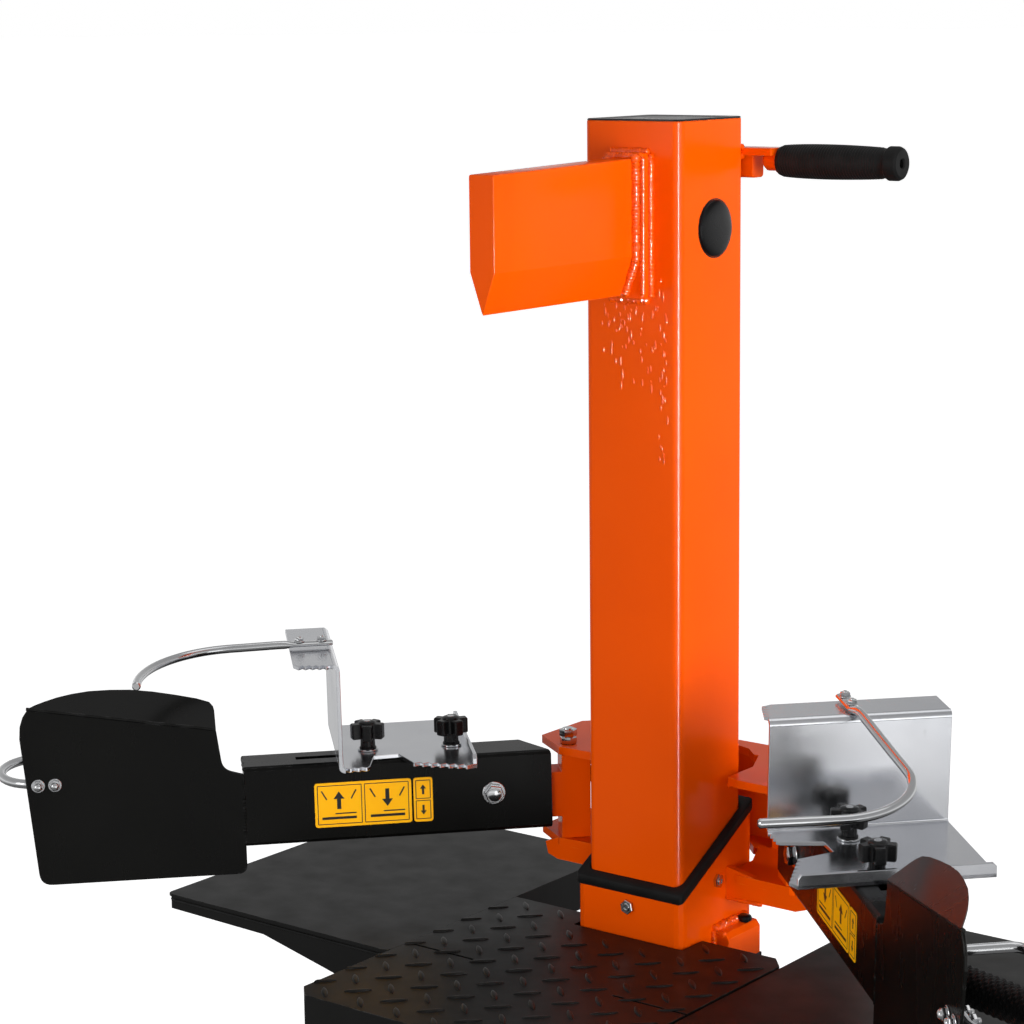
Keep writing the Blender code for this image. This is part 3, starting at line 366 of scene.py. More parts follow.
def inset(outline, distance):
    """The outline moved inwards; corners keep their mitre."""
    if not distance:
        return outline
    area = sum(a[0] * b[1] - b[0] * a[1] for a, b in zip(outline, outline[1:] + outline[:1]))
    sign = 1 if area > 0 else -1
    moved = []
    for before, here, after in zip(outline[-1:] + outline[:-1], outline, outline[1:] + outline[:1]):
        first = Vector((here[0] - before[0], here[1] - before[1]))
        second = Vector((after[0] - here[0], after[1] - here[1]))
        if min(first.length, second.length) < ON_AXIS:
            moved.append(here)
            continue
        first.normalize()
        second.normalize()
        left = Vector((-first.y - second.y, first.x + second.x)) * sign
        if left.length < HAIRPIN:
            moved.append(here)
            continue
        left.normalize()
        facing = max(0.4, left.dot(Vector((-first.y, first.x)) * sign))
        moved.append((here[0] + left.x * distance / facing, here[1] + left.y * distance / facing))
    return moved


def arc(centre, radius, start, end, steps=6):
    """Points on a circle between two angles in degrees."""
    spots = [polar(radius, math.radians(start + (end - start) * i / steps)) for i in range(steps + 1)]
    return [(centre[0] + x, centre[1] + y) for x, y in spots]


def rounded(half_x, half_y, radius, steps=6, centre=(0, 0)):
    """A rectangle with round corners."""
    points = []
    for turn, (sx, sy) in enumerate(((1, 1), (-1, 1), (-1, -1), (1, -1))):
        middle = (centre[0] + sx * (half_x - radius), centre[1] + sy * (half_y - radius))
        points += arc(middle, radius, 90 * turn, 90 * turn + 90, steps)
    return points


def fillet(outline, radii, steps=4):
    """Rounds the corners of an outline; radii is one number or one for each corner."""
    points = []
    count = len(outline)
    for i, here in enumerate(outline):
        radius = radii[i] if isinstance(radii, (list, tuple)) else radii
        before = Vector(outline[i - 1]) - Vector(here)
        after = Vector(outline[(i + 1) % count]) - Vector(here)
        if radius <= 0:
            points.append(here)
            continue
        reach = min(radius / math.tan(before.angle(after) / 2), 0.49 * before.length, 0.49 * after.length)
        first = Vector(here) + before.normalized() * reach
        last = Vector(here) + after.normalized() * reach
        for step in range(steps + 1):
            t = step / steps
            point = first * (1 - t) ** 2 + Vector(here) * 2 * t * (1 - t) + last * t ** 2
            points.append((point.x, point.y))
    return points


def curve_through(points, step=4.0):
    """Even points on a smooth curve through the given ones."""
    points = [Vector(point) for point in points]
    ends = [2 * points[0] - points[1]] + points + [2 * points[-1] - points[-2]]
    found = []
    for a, b, c, d in zip(ends, ends[1:], ends[2:], ends[3:]):
        count = max(2, round((c - b).length / step))
        for i in range(count):
            t = i / count
            found.append(0.5 * (2 * b + (c - a) * t + (2 * a - 5 * b + 4 * c - d) * t * t
                                + (3 * b - a - 3 * c + d) * t ** 3))
    return found + [points[-1]]


def sweep(bm, path, radius, sides=16, place=IDENTITY, round_ends=True):
    """A bar along a path; radius is a number, or a function of the distance run that gives (across, up)."""
    path = [Vector(point) for point in path]
    tangents = [(b - a).normalized() for a, b in zip(path, path[1:])]
    tangents = [tangents[0]] + [(a + b).normalized() for a, b in zip(tangents, tangents[1:])] + [tangents[-1]]
    side = tangents[0].cross(Vector((0, 0, 1)))
    if side.length < 0.1:
        side = tangents[0].cross(Vector((0, 1, 0)))
    side.normalize()
    spans = []
    run = 0.0
    for i, (point, ahead) in enumerate(zip(path, tangents)):
        if i:
            run += (point - path[i - 1]).length
        side = (side - ahead * side.dot(ahead)).normalized()
        across, high = radius(run) if callable(radius) else (radius, radius)
        spans.append((point, side, side.cross(ahead), across, high))
    if round_ends:
        caps = []
        for outward, span in ((-tangents[0], spans[0]), (tangents[-1], spans[-1])):
            point, side, up, across, high = span
            caps.append((point + outward * 0.35 * high, side, up, across * 0.7, high * 0.7))
        spans = [caps[0], *spans, caps[1]]
    loft(bm, [[place @ (point + side * across * math.cos(angle) + up * high * math.sin(angle))
               for angle in circle(sides)] for point, side, up, across, high in spans])


BEAD_STEP, BEAD_WOBBLE = 1.1, 0.22


def bead(bm, path, width, place=WORLD):
    """A weld bead: overlapping ripples that never quite repeat."""
    even = []
    for a, b in zip(path, path[1:]):
        a, b = Vector(a), Vector(b)
        count = max(2, round((b - a).length / BEAD_STEP))
        even += [a.lerp(b, i / count) for i in range(count)]
    even.append(Vector(path[-1]))
    phase = chance.uniform(0, 9)
    wobble = [point + Vector([chance.uniform(-BEAD_WOBBLE, BEAD_WOBBLE) for _ in range(3)]) for point in even]
    half = width / 2

    def ripple(run):
        short = 0.13 * math.sin(TAU * run / 3.3 + phase)
        long = 0.10 * math.sin(TAU * run / 17 + 2 * phase)
        size = half * (1 + short + long)
        return size, size
    sweep(bm, wobble, ripple, 8, place)


def hexagon(bm, across, low, high, place=IDENTITY, lower_chamfer=False):
    """A hexagon head or nut with chamfered corners."""
    corner = across / math.sqrt(3)
    cut = 0.09 * across
    rows = [(low, 0.93 if lower_chamfer else 1.0)]
    if lower_chamfer:
        rows.append((low + cut * 0.5, 1.0))
    rows += [(high - cut * 0.6, 1.0), (high, 0.90)]
    stack(bm, [([polar(corner * scale, angle) for angle in circle(6)], z) for z, scale in rows], place)


def washer(bm, inner, outer, low, high, place=IDENTITY):
    soft = 0.25 * (high - low)
    lathe(bm, [(inner, low), (outer - soft, low), (outer, low + soft), (outer, high - soft),
               (outer - soft, high), (inner, high), (inner, low)], place, 28)


def thread(bm, radius, low, high, place=IDENTITY, pitch=1.25):
    """A threaded end with a domed tip."""
    profile = [(0, low), (radius, low)]
    height = low
    while height + pitch < high - 1:
        profile += [(radius, height + pitch * 0.25), (radius * 0.88, height + pitch * 0.62)]
        height += pitch
    profile += [(radius * 0.9, high - 0.8), (radius * 0.7, high), (0, high)]
    lathe(bm, profile, place, 20)


def screw(bm, place, across=13.0, washer_radius=12.0, head=7.0, tip=0.0):
    """Washer, hexagon and, for a nut, the thread that stands out of it. Local Z points away from the seat."""
    seat = 2.0
    washer(bm, across * 0.3, washer_radius, 0, seat, place)
    hexagon(bm, across, seat, seat + head, place, True)
    if tip:
        thread(bm, across * 0.31, seat - 0.5, seat + head + tip, place)
    else:
        crown = 2.4 + head
        lathe(bm, [(across * 0.40, seat + head), (across * 0.36, crown), (0, crown)], place, 24)


def piece(name, bm, material, body, replaces=(), angle=38):
    """Turns a bmesh into a finished piece on a body, in its material's slot."""
    bmesh.ops.remove_doubles(bm, verts=bm.verts, dist=1e-6)
    bmesh.ops.recalc_face_normals(bm, faces=bm.faces)
    mesh = bpy.data.meshes.new(name)
    bm.to_mesh(mesh)
    bm.free()
    mesh.materials.append(material)
    mesh.shade_smooth()
    mesh.set_sharp_from_angle(angle=math.radians(angle))
    made = bpy.data.objects.new(name, mesh)
    bpy.context.scene.collection.objects.link(made)
    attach(made, body)
    if replaces:
        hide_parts(*replaces)


def millimetres(node):
    """The two corners of a CAD node's box."""
    low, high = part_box(node)
    return low / MM, high / MM


def joint_at(name):
    """A joint's place, in metres."""
    return Vector(JOINTS[name]["pos_m"])


def joint_axis(name):
    return Vector(JOINTS[name]["axis"]).normalized()


# ---------------------------------------------------------------- mast, its cap, wedge and handle

MAST_CORNER, MAST_WALL = 9.0, 3.5
CAP_LIP = 1.7                   # how far the cap stands above the tube
PLUG_RISE = 5.0
FOOT_HALF, FOOT_PLATE = 22.0, 12.5      # half width and thickness of the wedge's foot plate
BLADE_HALF = 13.5


def mast_parts():
    low, high = millimetres("mast_tube")
    cap_high = millimetres("mast_cap")[1]
    half, top = high.x, cap_high.z - CAP_LIP
    bm = bmesh.new()
    outer = rounded(half, half, MAST_CORNER, 8)
    inner = rounded(half - MAST_WALL, half - MAST_WALL, MAST_CORNER - MAST_WALL, 8)
    stack(bm, [(outer, low.z + 0.8), (outer, top - 0.8), (inset(outer, 0.8), top), (inner, top),
               (inner, low.z), (inset(outer, 0.8), low.z), (outer, low.z + 0.8)], ends=False)
    piece("mast_shell", bm, ORANGE, "mast", ["mast_tube"])

    bm = bmesh.new()
    rim = cap_high.z
    rows = []
    for inward, z in ((6, top), (0, top), (0, rim - 0.8), (0.5, rim - 0.2), (1.7, rim), (9, rim - 0.2),
                      (11, rim - 0.8), (14, rim - 0.8)):
        reach = cap_high.x - 0.2 - inward
        rows.append((rounded(reach, reach, max(1.5, MAST_CORNER - inward), 8), z))
    stack(bm, rows)
    piece("top_cap", bm, PLASTIC, "mast", ["mast_cap"])

    for side, sign in SIDES:
        low, high = millimetres(f"pin_plug_{side}")
        radius = (high.z - low.z) / 2
        face = low.x if sign > 0 else high.x
        bm = bmesh.new()
        place = WORLD @ aim((face, (low.y + high.y) / 2, (low.z + high.z) / 2), (sign, 0, 0))
        dome = [(radius * math.cos(math.radians(angle)), 0.8 + 4.2 * math.sin(math.radians(angle)))
                for angle in range(0, 90, 9)]
        lathe(bm, [(0, 0), (radius, 0)] + dome + [(0, PLUG_RISE)], place, 56)
        piece(f"round_plug_{side}", bm, PLASTIC, "mast", [f"pin_plug_{side}"])
        bm = bmesh.new()
        lathe(bm, [(radius + 0.3, -0.2), (radius + 1.3, -0.2), (radius + 1.1, 0.35), (radius + 0.3, 0.35),
                   (radius + 0.3, -0.2)], place, 56)
        piece(f"plug_rim_{side}", bm, PLASTIC, "mast")


def wedge_parts():
    low, high = millimetres("splitting_wedge")
    mast_face = millimetres("mast_tube")[0].y
    tip, top = low.y, high.z - 5
    half = BLADE_HALF
    edge = low.z + 3
    shoulder = edge + 37
    bm = bmesh.new()
    section = [(-half, top), (-half, shoulder), (-1.2, edge + 2.4), (0, edge + 0.6), (1.2, edge + 2.4),
               (half, shoulder), (half, top)]
    section = fillet(section, [2.2, 3, 0, 0, 0, 3, 2.2], 3)
    rings = []
    for y, shrink, drop in ((tip, 0.7, 5), (tip + 0.3, 0.3, 5), (tip + 0.9, 0, 5), (tip + 60, 0, 3.5),
                            (tip + 140, 0, 1.6), (mast_face - 9, 0, 0)):
        rings.append([WORLD @ Vector((x, y, z - (drop if z > shoulder + 10 else 0)))
                      for x, z in inset(section, shrink)])
    loft(bm, rings)
    piece("wedge_blade", bm, ORANGE, "mast", ["splitting_wedge"], angle=28)

    bm = bmesh.new()
    side = FOOT_HALF
    foot = fillet([(-side, low.z), (side, low.z), (side, high.z), (-side, high.z)], 5)
    prism(bm, foot, -mast_face + 0.3, -mast_face + FOOT_PLATE, WORLD @ spin(90, "X"), 1.4)
    piece("wedge_foot", bm, ORANGE, "mast", angle=28)

    bm = bmesh.new()
    front = mast_face - FOOT_PLATE
    for sign in (-1, 1):
        x, rim = sign * (half + 1.6), sign * (side - 0.6)
        bead(bm, [(x, front - 1.2, z) for z in (shoulder - 4, (shoulder + top) / 2, top + 1)], 9)
        bead(bm, [(x, front - 1.0, shoulder - 4), (sign * 2, front - 1.0, edge + 1)], 8)
        bead(bm, [(rim, front + 1.2, low.z + 5), (rim, front + 1.2, high.z - 5)], 5)
        seat = sign * (side + 0.8)
        bead(bm, [(seat, mast_face - 1.2, low.z + 3), (seat, mast_face - 1.2, high.z - 3)], 6)
    bead(bm, [(-half - 1, front - 0.8, top + 1.2), (half + 1, front - 0.8, top + 1.2)], 7)
    bead(bm, [(2 - side, mast_face - 1.6, low.z - 0.4), (side - 2, mast_face - 1.6, low.z - 0.4)], 9)
    bead(bm, [(2 - side, mast_face - 1.2, high.z + 0.4), (side - 2, mast_face - 1.2, high.z + 0.4)], 6.5)
    piece("wedge_welds", bm, ORANGE_WET, "mast", angle=60)


RUN_COUNT = 96
RUN_ROWS = ((-0.2, 1.0), (0.3, 0.85), (0.58, 0.5))      # (height, width share); all lower than SEAL_GAP


def paint_runs():
    """Beads of paint and spatter on the mast's front, below the wedge's foot and along its right edge."""
    face = millimetres("mast_tube")[0].y
    foot = millimetres("splitting_wedge")[0].z
    bm = bmesh.new()
    for index in range(RUN_COUNT):
        if index % 3:
            x, z = chance.uniform(-34, 30), foot - 6 - 78 * chance.random() ** 1.6
        else:
            x, z = chance.uniform(30, 42), foot - chance.uniform(-20, 150)
        wide = chance.uniform(0.5, 1.2)
        tall = wide * chance.uniform(1.2, 4.5)
        rings = []
        for height, scale in RUN_ROWS:
            ring = []
            for turn in circle(10):
                upper = 1.0 if math.sin(turn) < 0 else 1.3
                ring.append(WORLD @ Vector((x + wide * scale * math.cos(turn), face - height,
                                            z + tall * scale * math.sin(turn) * upper)))
            rings.append(ring)
        loft(bm, rings)
    piece("paint_runs", bm, ORANGE_WET, "mast", angle=70)


def handle_parts():
    low, high = millimetres("handle_grip")
    at = (low + high) / 2
    length = high.x - low.x
    flange = (high.z - low.z) / 2 - 1.4
    body_end = length - 19.0
    profile = [(9.8, 0), (12.0, 0), (13.4, 1.0), (14.0, 3.0)]
    spot = 4.0
    while spot < body_end - 3:
        crown = 14.0 + 2.1 * math.sin(math.pi * min(1.0, spot / body_end) ** 0.8) ** 0.7
        groove = crown - 0.35
        profile += [(groove, spot), (crown, spot + 0.6), (crown, spot + 1.7), (groove, spot + 2.3)]
        spot += 2.9
    profile += [(13.8, body_end), (13.4, body_end + 2), (13.8, body_end + 3.5), (flange - 1.6, body_end + 5),
                (flange, body_end + 7), (flange, length - 4), (flange - 1.2, length - 1.4),
                (flange - 3.4, length), (5.2, length), (4.0, length - 1), (4.0, length - 9), (0, length - 9)]
    bm = bmesh.new()
    lathe(bm, profile, WORLD @ aim((low.x, at.y, at.z), (1, 0, 0)), 40)
    piece("grip_sleeve", bm, RUBBER, "mast", ["handle_grip"], angle=30)

    bar_low, bar_high = millimetres("transport_handle")
    mast_back = millimetres("mast_tube")[1].y
    bm = bmesh.new()
    across = WORLD @ FROM_SIDE
    seat, upper, lower = mast_back + 0.3, at.z + 12, at.z + 5
    plate = fillet([(seat, upper), (86, upper), (86, lower), (seat, lower)], 1, 2)
    prism(bm, plate, bar_low.x, 82, across, 0.9)
    tab = [(60.5, at.z + 5.2), (60.5, bar_low.z), (79.5, bar_low.z), (79.5, at.z + 5.2)]
    tab = fillet(tab, [0, 4, 4, 0], 4)
    prism(bm, tab, bar_low.x, 58, across, 0.9)
    piece("handle_bracket", bm, ORANGE, "mast", ["transport_handle"], angle=30)
    bm = bmesh.new()
    sweep(bm, [(70, at.y, at.z), (120, at.y, at.z), (bar_high.x, at.y, at.z)], 9.4, 20, WORLD)
    piece("handle_bar", bm, ORANGE, "mast")
    bm = bmesh.new()
    for z in (at.z + 12.6, at.z + 4.4):
        bead(bm, [(bar_low.x + 3, mast_back + 1.5, z), (50, mast_back + 1.5, z)], 6)
    ring = [(82.8, at.y + 10 * math.cos(angle), at.z + 10 * math.sin(angle)) for angle in circle(14) + [TAU]]
    bead(bm, ring, 4)
    piece("handle_welds", bm, ORANGE, "mast", angle=60)


# ---------------------------------------------------------------- column, seal and bracket

SEAL_SLOPE = math.tan(math.radians(28.4))
SEAL_GAP = 0.7                  # between the wiper and the mast


def column_parts():
    low, high = millimetres("collar_seal")
    outer_half = high.x - 1.6
    inner_half = millimetres("mast_tube")[1].x + SEAL_GAP
    rim = low.z

    def level(y, height):
        return rim + (y + outer_half - 2) * SEAL_SLOPE + height
    rings = []
    for half, radius, height in (
            (inner_half, 8.5, 1.2), (inner_half, 8.5, 10.6), (inner_half + 1.0, 9, 11.0),
            (outer_half - 1.2, 6, 10.6), (outer_half - 0.3, 5, 10.2), (outer_half, 4.6, 9.6),
            (outer_half, 4.6, 1.6), (outer_half - 0.4, 5, 0.8), (inner_half + 1, 8.5, 0.7),
            (inner_half, 8.5, 1.2)):
        rings.append([WORLD @ Vector((x, y, level(y, height))) for x, y in rounded(half, half, radius, 6)])
    bm = bmesh.new()
    loft(bm, rings, ends=False)
    piece("wiper_rim", bm, RUBBER, "base", ["collar_seal"], angle=45)

    column = millimetres("fixed_column")[1].y
    table = millimetres("checker_table")[1].z
    for name, direction in (("guide_screw_front", (0, -1, 0)), ("guide_screw_side", (1, 0, 0))):
        low, high = millimetres(name)
        middle = (low + high) / 2
        seat = Vector(direction) * column
        at = Vector([seat[i] if direction[i] else middle[i] for i in range(3)])
        bm = bmesh.new()
        place = WORLD @ aim(at, direction, 12)
        hexagon(bm, 12.5, 0.2, 4.0, place, True)
        lathe(bm, [(0, 3.6), (4.0, 3.6), (4.0, 4.6), (3.6, 5.0), (2.3, 5.0), (2.0, 3.9), (0, 3.8)], place, 24)
        piece(name + "_head", bm, ZINC_BAR, "base", [name])

    pin_low, pin_high = millimetres("lock_pin")
    ear = pin_high.z - 9.0
    bm = bmesh.new()
    for sign in (-1, 1):
        x = sign * (column + 0.8)
        bead(bm, [(x, -7, ear + 0.4), (x, 20, ear + 1.4), (x, 46, ear + 0.4)], 10)
        bead(bm, [(x + sign * 4, -8.4, ear - 1.2), (x + sign * 12, -8.2, ear - 1.8)], 5)
        bead(bm, [(x, -8.6, table - 28), (x, -8.6, ear - 2)], 6)
        bead(bm, [(x, 14, table + 31), (x + sign * 40, 12.4, table + 31.4)], 4)
        for z in (table + 47.6, table + 141.6):
            bead(bm, [(x, 17, z), (x, 58, z)], 6)
    piece("column_welds", bm, ORANGE_WET, "base", angle=60)

    at = (pin_low + pin_high) / 2
    bm = bmesh.new()
    place = WORLD @ shift(at.x, at.y, 0)
    top = pin_high.z - 3.4
    lathe(bm, [(0, pin_low.z), (3.2, pin_low.z), (4, pin_low.z + 1.2), (4, ear + 0.5), (6.5, ear + 0.6),
               (6.5, top - 2), (5.8, top - 0.6), (4.6, top), (0, top)], place, 28,
          lambda angle, z: 1 + (0.05 * math.cos(14 * angle) if z > ear + 0.5 else 0))
    piece("lock_pin_cap", bm, PLASTIC, "lock_pin", ["lock_pin"])


def swing_pins():
    for side, _ in SIDES:
        low, high = millimetres(f"swing_pin_{side}")
        at = (low + high) / 2
        bm = bmesh.new()
        place = WORLD @ shift(at.x, at.y, 0) @ spin(20)
        lathe(bm, [(0, low.z), (6, low.z), (7, low.z + 1.2), (7, high.z - 17)], place, 32)
        hexagon(bm, 15.4, high.z - 16.4, high.z - 9.2, place, True)
        hexagon(bm, 15.4, high.z - 8.9, high.z - 1.6, place @ turned(0.4), True)
        lathe(bm, [(0, high.z - 1.7), (5.4, high.z - 1.7), (5.0, high.z - 0.5), (0, high.z - 0.4)], place, 24)
        piece(f"swing_pin_{side}_bright", bm, ZINC_BAR, "base", [f"swing_pin_{side}"])


# ---------------------------------------------------------------- tables

TREAD_PITCH = 42.6
TREAD_FIRST = (-155.0, -26.5)       # a tear of the first kind; the second kind stands in the cells' middles
TEAR_HALF, TEAR_WIDE = 13.0, 2.9    # half length and half width
TEAR_ROWS = ((-0.2, 1.0), (0.5, 0.96), (0.95, 0.82), (1.25, 0.58), (1.35, 0.3))     # (height, share)
PLATE_BACK = -30.0                  # back edge of the treaded plate, beside the column


def tear(bm, x, y, z, angle):
    """One raised tear of the tread: a pointed oval with rounded shoulders."""
    place = WORLD @ shift(x, y, z) @ spin(angle)
    rows = []
    for height, scale in TEAR_ROWS:
        outline = []
        for along, across in (polar(1.0, turn) for turn in circle(24)):
            narrowing = 1 - 0.5 * abs(along) ** 3
            outline.append((TEAR_HALF * scale * along, TEAR_WIDE * scale * across * narrowing))
        rows.append((outline, height))
    stack(bm, rows, place)


def table_parts():
    """Tread on the plate in front of the column, and the hems of the side tables."""
    low, high = millimetres("checker_table")
    column = millimetres("fixed_column")[1].y
    bm = bmesh.new()
    for kind in (0, 1):
        for i in range(9):
            for j in range(9):
                x = TREAD_FIRST[0] + (i + 0.5 * kind) * TREAD_PITCH
                y = TREAD_FIRST[1] - (j + 0.5 * kind) * TREAD_PITCH
                if abs(x) > high.x - 2 or y < low.y + 10 or y > PLATE_BACK - 14:
                    continue
                if abs(x) < column + 12 and y > -column - 12:
                    continue
                if abs(x) + (low.y + 60 - y) > high.x + 20:
                    continue
                tear(bm, x, y, high.z, -45 if kind else 45)
    slant = Vector((16, 14, 0)).normalized()
    for outward, on_edge in ((Vector((1, 0, 0)), Vector((high.x, 0, 0))),
                             (slant, Vector((high.x - 14, PLATE_BACK, 0)))):
        for sign in (-1, 1):
            plane = Vector((sign * outward.x, outward.y, 0))
            at = plane * (outward.dot(on_edge) - 0.6) * MM
            parts = bm.verts[:] + bm.edges[:] + bm.faces[:]
            cut = bmesh.ops.bisect_plane(bm, geom=parts, plane_co=at, plane_no=plane, clear_outer=True)
            rim = [part for part in cut["geom_cut"] if isinstance(part, bmesh.types.BMEdge)]
            bmesh.ops.holes_fill(bm, edges=rim)
    piece("tread_pattern", bm, GREY, "base", angle=60)
    for side, sign in SIDES:
        low, high = millimetres(f"side_table_{side}")
        inner, outer = sorted((abs(low.x), abs(high.x)))
        bm = bmesh.new()
        level = high.z - 5.6
        path = [(sign * (inner + 4), low.y - 0.4, level), (sign * (outer - 12), low.y - 0.4, level)]
        path += [(sign * (outer - 5), low.y + 2, level), (sign * (outer + 0.2), low.y + 10, level)]
        path += [(sign * (outer + 0.4), high.y - 10, level)]
        sweep(bm, path, 1.3, 10, WORLD)
        piece(f"table_hem_{side}", bm, GREY, "base")


# ---------------------------------------------------------------- control arms

BOLT_U = 78.7                   # tilt bolt, outwards from the swing pin
TUBE_H, TUBE_W, TUBE_END = 40.0, 25.0, 324.0        # half height, half width and outer end of the arm tube
SHEET = 4.0


def arm_place(side):
    """Local frame of an arm in millimetres: u outwards from the swing pin, n towards the log, w up."""
    out = joint_axis(f"claw_slide_{side}")
    up = joint_axis(f"knob_near_{side}_turn")
    across = joint_axis(f"arm_tilt_{side}") * (1 if side == "left" else -1)
    origin = joint_at(f"arm_tilt_{side}") - out * BOLT_U * MM
    return axes(*([part * MM for part in way] for way in (out, across, up)), origin)


def label(name, place, body, u, w, marks):
    """A yellow film with rounded corners on the tube's log side, and its plain black marks."""
    stand = shift(0, TUBE_W, 0) @ FROM_BACK
    outline = fillet([(u[0], w[0]), (u[1], w[0]), (u[1], w[1]), (u[0], w[1])], 3.2)
    bm = bmesh.new()
    prism(bm, outline, 0.02, 0.35, place @ stand)
    piece(name, bm, LABEL, body)
    bm = bmesh.new()
    for shape in marks:
        prism(bm, shape, 0.30, 0.50, place @ stand)
    piece(name + "_marks", bm, INK, body)


def bar_mark(a, b, width):
    """Outline of a straight bar between two points."""
    a, b = Vector(a), Vector(b)
    side = Vector((-(b - a).y, (b - a).x)).normalized() * width / 2
    return [tuple(a + side), tuple(b + side), tuple(b - side), tuple(a - side)]


def arrow_mark(centre, size, up):
    x, y = centre
    tip = size if up else -size
    barb, shaft, neck = size * 0.6, size * 0.22, y + tip * 0.15
    return [(x, y + tip), (x + barb, neck), (x + shaft, neck), (x + shaft, y - tip),
            (x - shaft, y - tip), (x - shaft, neck), (x - barb, neck)]


def frame_mark(u, w, width):
    return [bar_mark((u[0], w[0]), (u[1], w[0]), width), bar_mark((u[0], w[1]), (u[1], w[1]), width),
            bar_mark((u[0], w[0]), (u[0], w[1]), width), bar_mark((u[1], w[0]), (u[1], w[1]), width)]


def labels(side, place, body):
    large = (160.5, 256.0) if side == "left" else (154.0, 250.0)
    small = (139.5, 158.5) if side == "left" else (252.0, 271.0)
    w = (-25.0, 20.0)
    middle = sum(large) / 2
    marks = frame_mark((large[0] + 3, middle - 1.6), (w[0] + 3, w[1] - 3), 0.8)
    marks += frame_mark((middle + 1.6, large[1] - 3), (w[0] + 3, w[1] - 3), 0.8)
    for centre, up in (((large[0] + middle) / 2, False), ((large[1] + middle) / 2, True)):
        marks.append(arrow_mark((centre, 2), 9, up))
        marks.append(bar_mark((centre - 17, -16), (centre + 17, -16), 2.6))
        marks.append(bar_mark((centre - 17, -11.5), (centre + 4, -11.5), 1.2))
        marks += [bar_mark((centre + 17 * sign, 12), (centre + 12 * sign, 3), 1.4) for sign in (-1, 1)]
    label(f"label_large_{side}", place, body, large, w, marks)
    centre = sum(small) / 2
    marks = frame_mark((small[0] + 2.4, small[1] - 2.4), (w[0] + 3, -3.6), 0.8)
    marks += frame_mark((small[0] + 2.4, small[1] - 2.4), (-1.4, w[1] - 3), 0.8)
    marks += [arrow_mark((centre, 7.8), 5, True), arrow_mark((centre, -13), 5, False)]
    label(f"label_small_{side}", place, body, small, w, marks)


def arm_bolt(side, place, body):
    """The bolt that the arm tips on: its head on the log side, a nut behind."""
    bm = bmesh.new()
    screw(bm, place @ aim((BOLT_U, TUBE_W + 0.2, 0), (0, 1, 0), 20), 17, 11.5, 6.6)
    screw(bm, place @ aim((BOLT_U, -TUBE_W - 0.2, 0), (0, -1, 0), 5), 16, 9, 4, 2.5)
    lathe(bm, [(6, -TUBE_W), (6, TUBE_W)], place @ aim((BOLT_U, 0, 0), (0, 1, 0)), 20)
    piece(f"arm_bolt_{side}", bm, ZINC_BAR, body, [f"tilt_bolt_{side}"])


GUARD_OUT, GUARD_IN = 25.0, 22.0        # the panel's faces, towards the log
GUARD_BOLTS = (506.0, 522.0)
LOOP_W = 34.5                           # height of the hand loop and its bolts
# outline of the guard's bent-over flange, in u and n
GUARD_RIM = [(349, 25), (349.5, 6), (350.5, 1.5), (354, -2.5), (366, -4.8), (386, -6.2), (408, -7),
             (430, -6.4), (450, -3.8), (470, 0), (486, 4.8), (500, 10.2), (512, 16), (521, 21), (527, 25)]


def fold(u):
    """Height of the guard's bend."""
    return 80 + (u - 348) * 0.172


def guard(side, place, body):
    """The bent sheet in front of the hand: upright panel, flange, welds and the hand loop's bolts."""
    near = TUBE_END + 0.3
    outline = [(near, -40), (near, -67), (525, -66), (537.5, 82), (536.5, 94), (533.5, 103), (528, fold(528)),
               (349, fold(349)), (344, 40), (near, 34)]
    outline = fillet(outline, [0, 9, 13, 4, 4, 4, 1, 3, 14, 0], 6)
    bm = bmesh.new()
    prism(bm, outline, -GUARD_OUT, -GUARD_IN, place @ FROM_FRONT, 0.6)
    piece(f"guard_panel_{side}", bm, BLACK, body, [f"hand_guard_{side}"], angle=30)
    bm = bmesh.new()
    rows = []
    for drop, keep in ((-1.5, 0.35), (-1.1, 0.0), (1.1, 0.0), (1.5, 0.35)):
        rows.append([place @ Vector((u, n + keep * (1 if n < 20 else 0), fold(u) + (25 - n) * 0.70 + drop))
                     for u, n in GUARD_RIM])
    loft(bm, rows)
    piece(f"guard_flange_{side}", bm, BLACK, body, angle=30)
    bm = bmesh.new()
    # the bend gets the lighter table grey, a painted highlight along the fold
    sweep(bm, [(u, 23.4, fold(u)) for u in (350, 440, 529)], 1.75, 12, place)
    piece(f"guard_bend_{side}", bm, GREY, body)
    bm = bmesh.new()
    bead(bm, [(near + 0.5, 23, 32), (near + 0.5, 23, 0), (near + 0.5, 23, -38)], 5, place)
    bead(bm, [(near - 1, TUBE_W - 3, 38), (near - 1, -TUBE_W + 3, 38)], 4, place)
    piece(f"guard_weld_{side}", bm, BLACK, body, angle=60)
    bm = bmesh.new()
    for twist, u in enumerate(GUARD_BOLTS):
        head = place @ aim((u, GUARD_OUT, LOOP_W), (0, 1, 0), 25 * twist + 8)
        washer(bm, 3, 6.6, 0, 1.4, head)
        hexagon(bm, 9.5, 1.4, 5.6, head, True)
        lathe(bm, [(0, 5.2), (4.2, 5.2), (4.0, 6.4), (3.3, 7.5), (2.0, 8.3), (0, 8.6)], head, 24)
        back = place @ aim((u, GUARD_IN - 9.6, LOOP_W), (0, -1, 0), 10)
        hexagon(bm, 9.5, 0, 4.5, back, True)
        thread(bm, 2.9, -1, 8, back, 1.0)
    piece(f"guard_bolts_{side}", bm, ZINC_BAR, body)


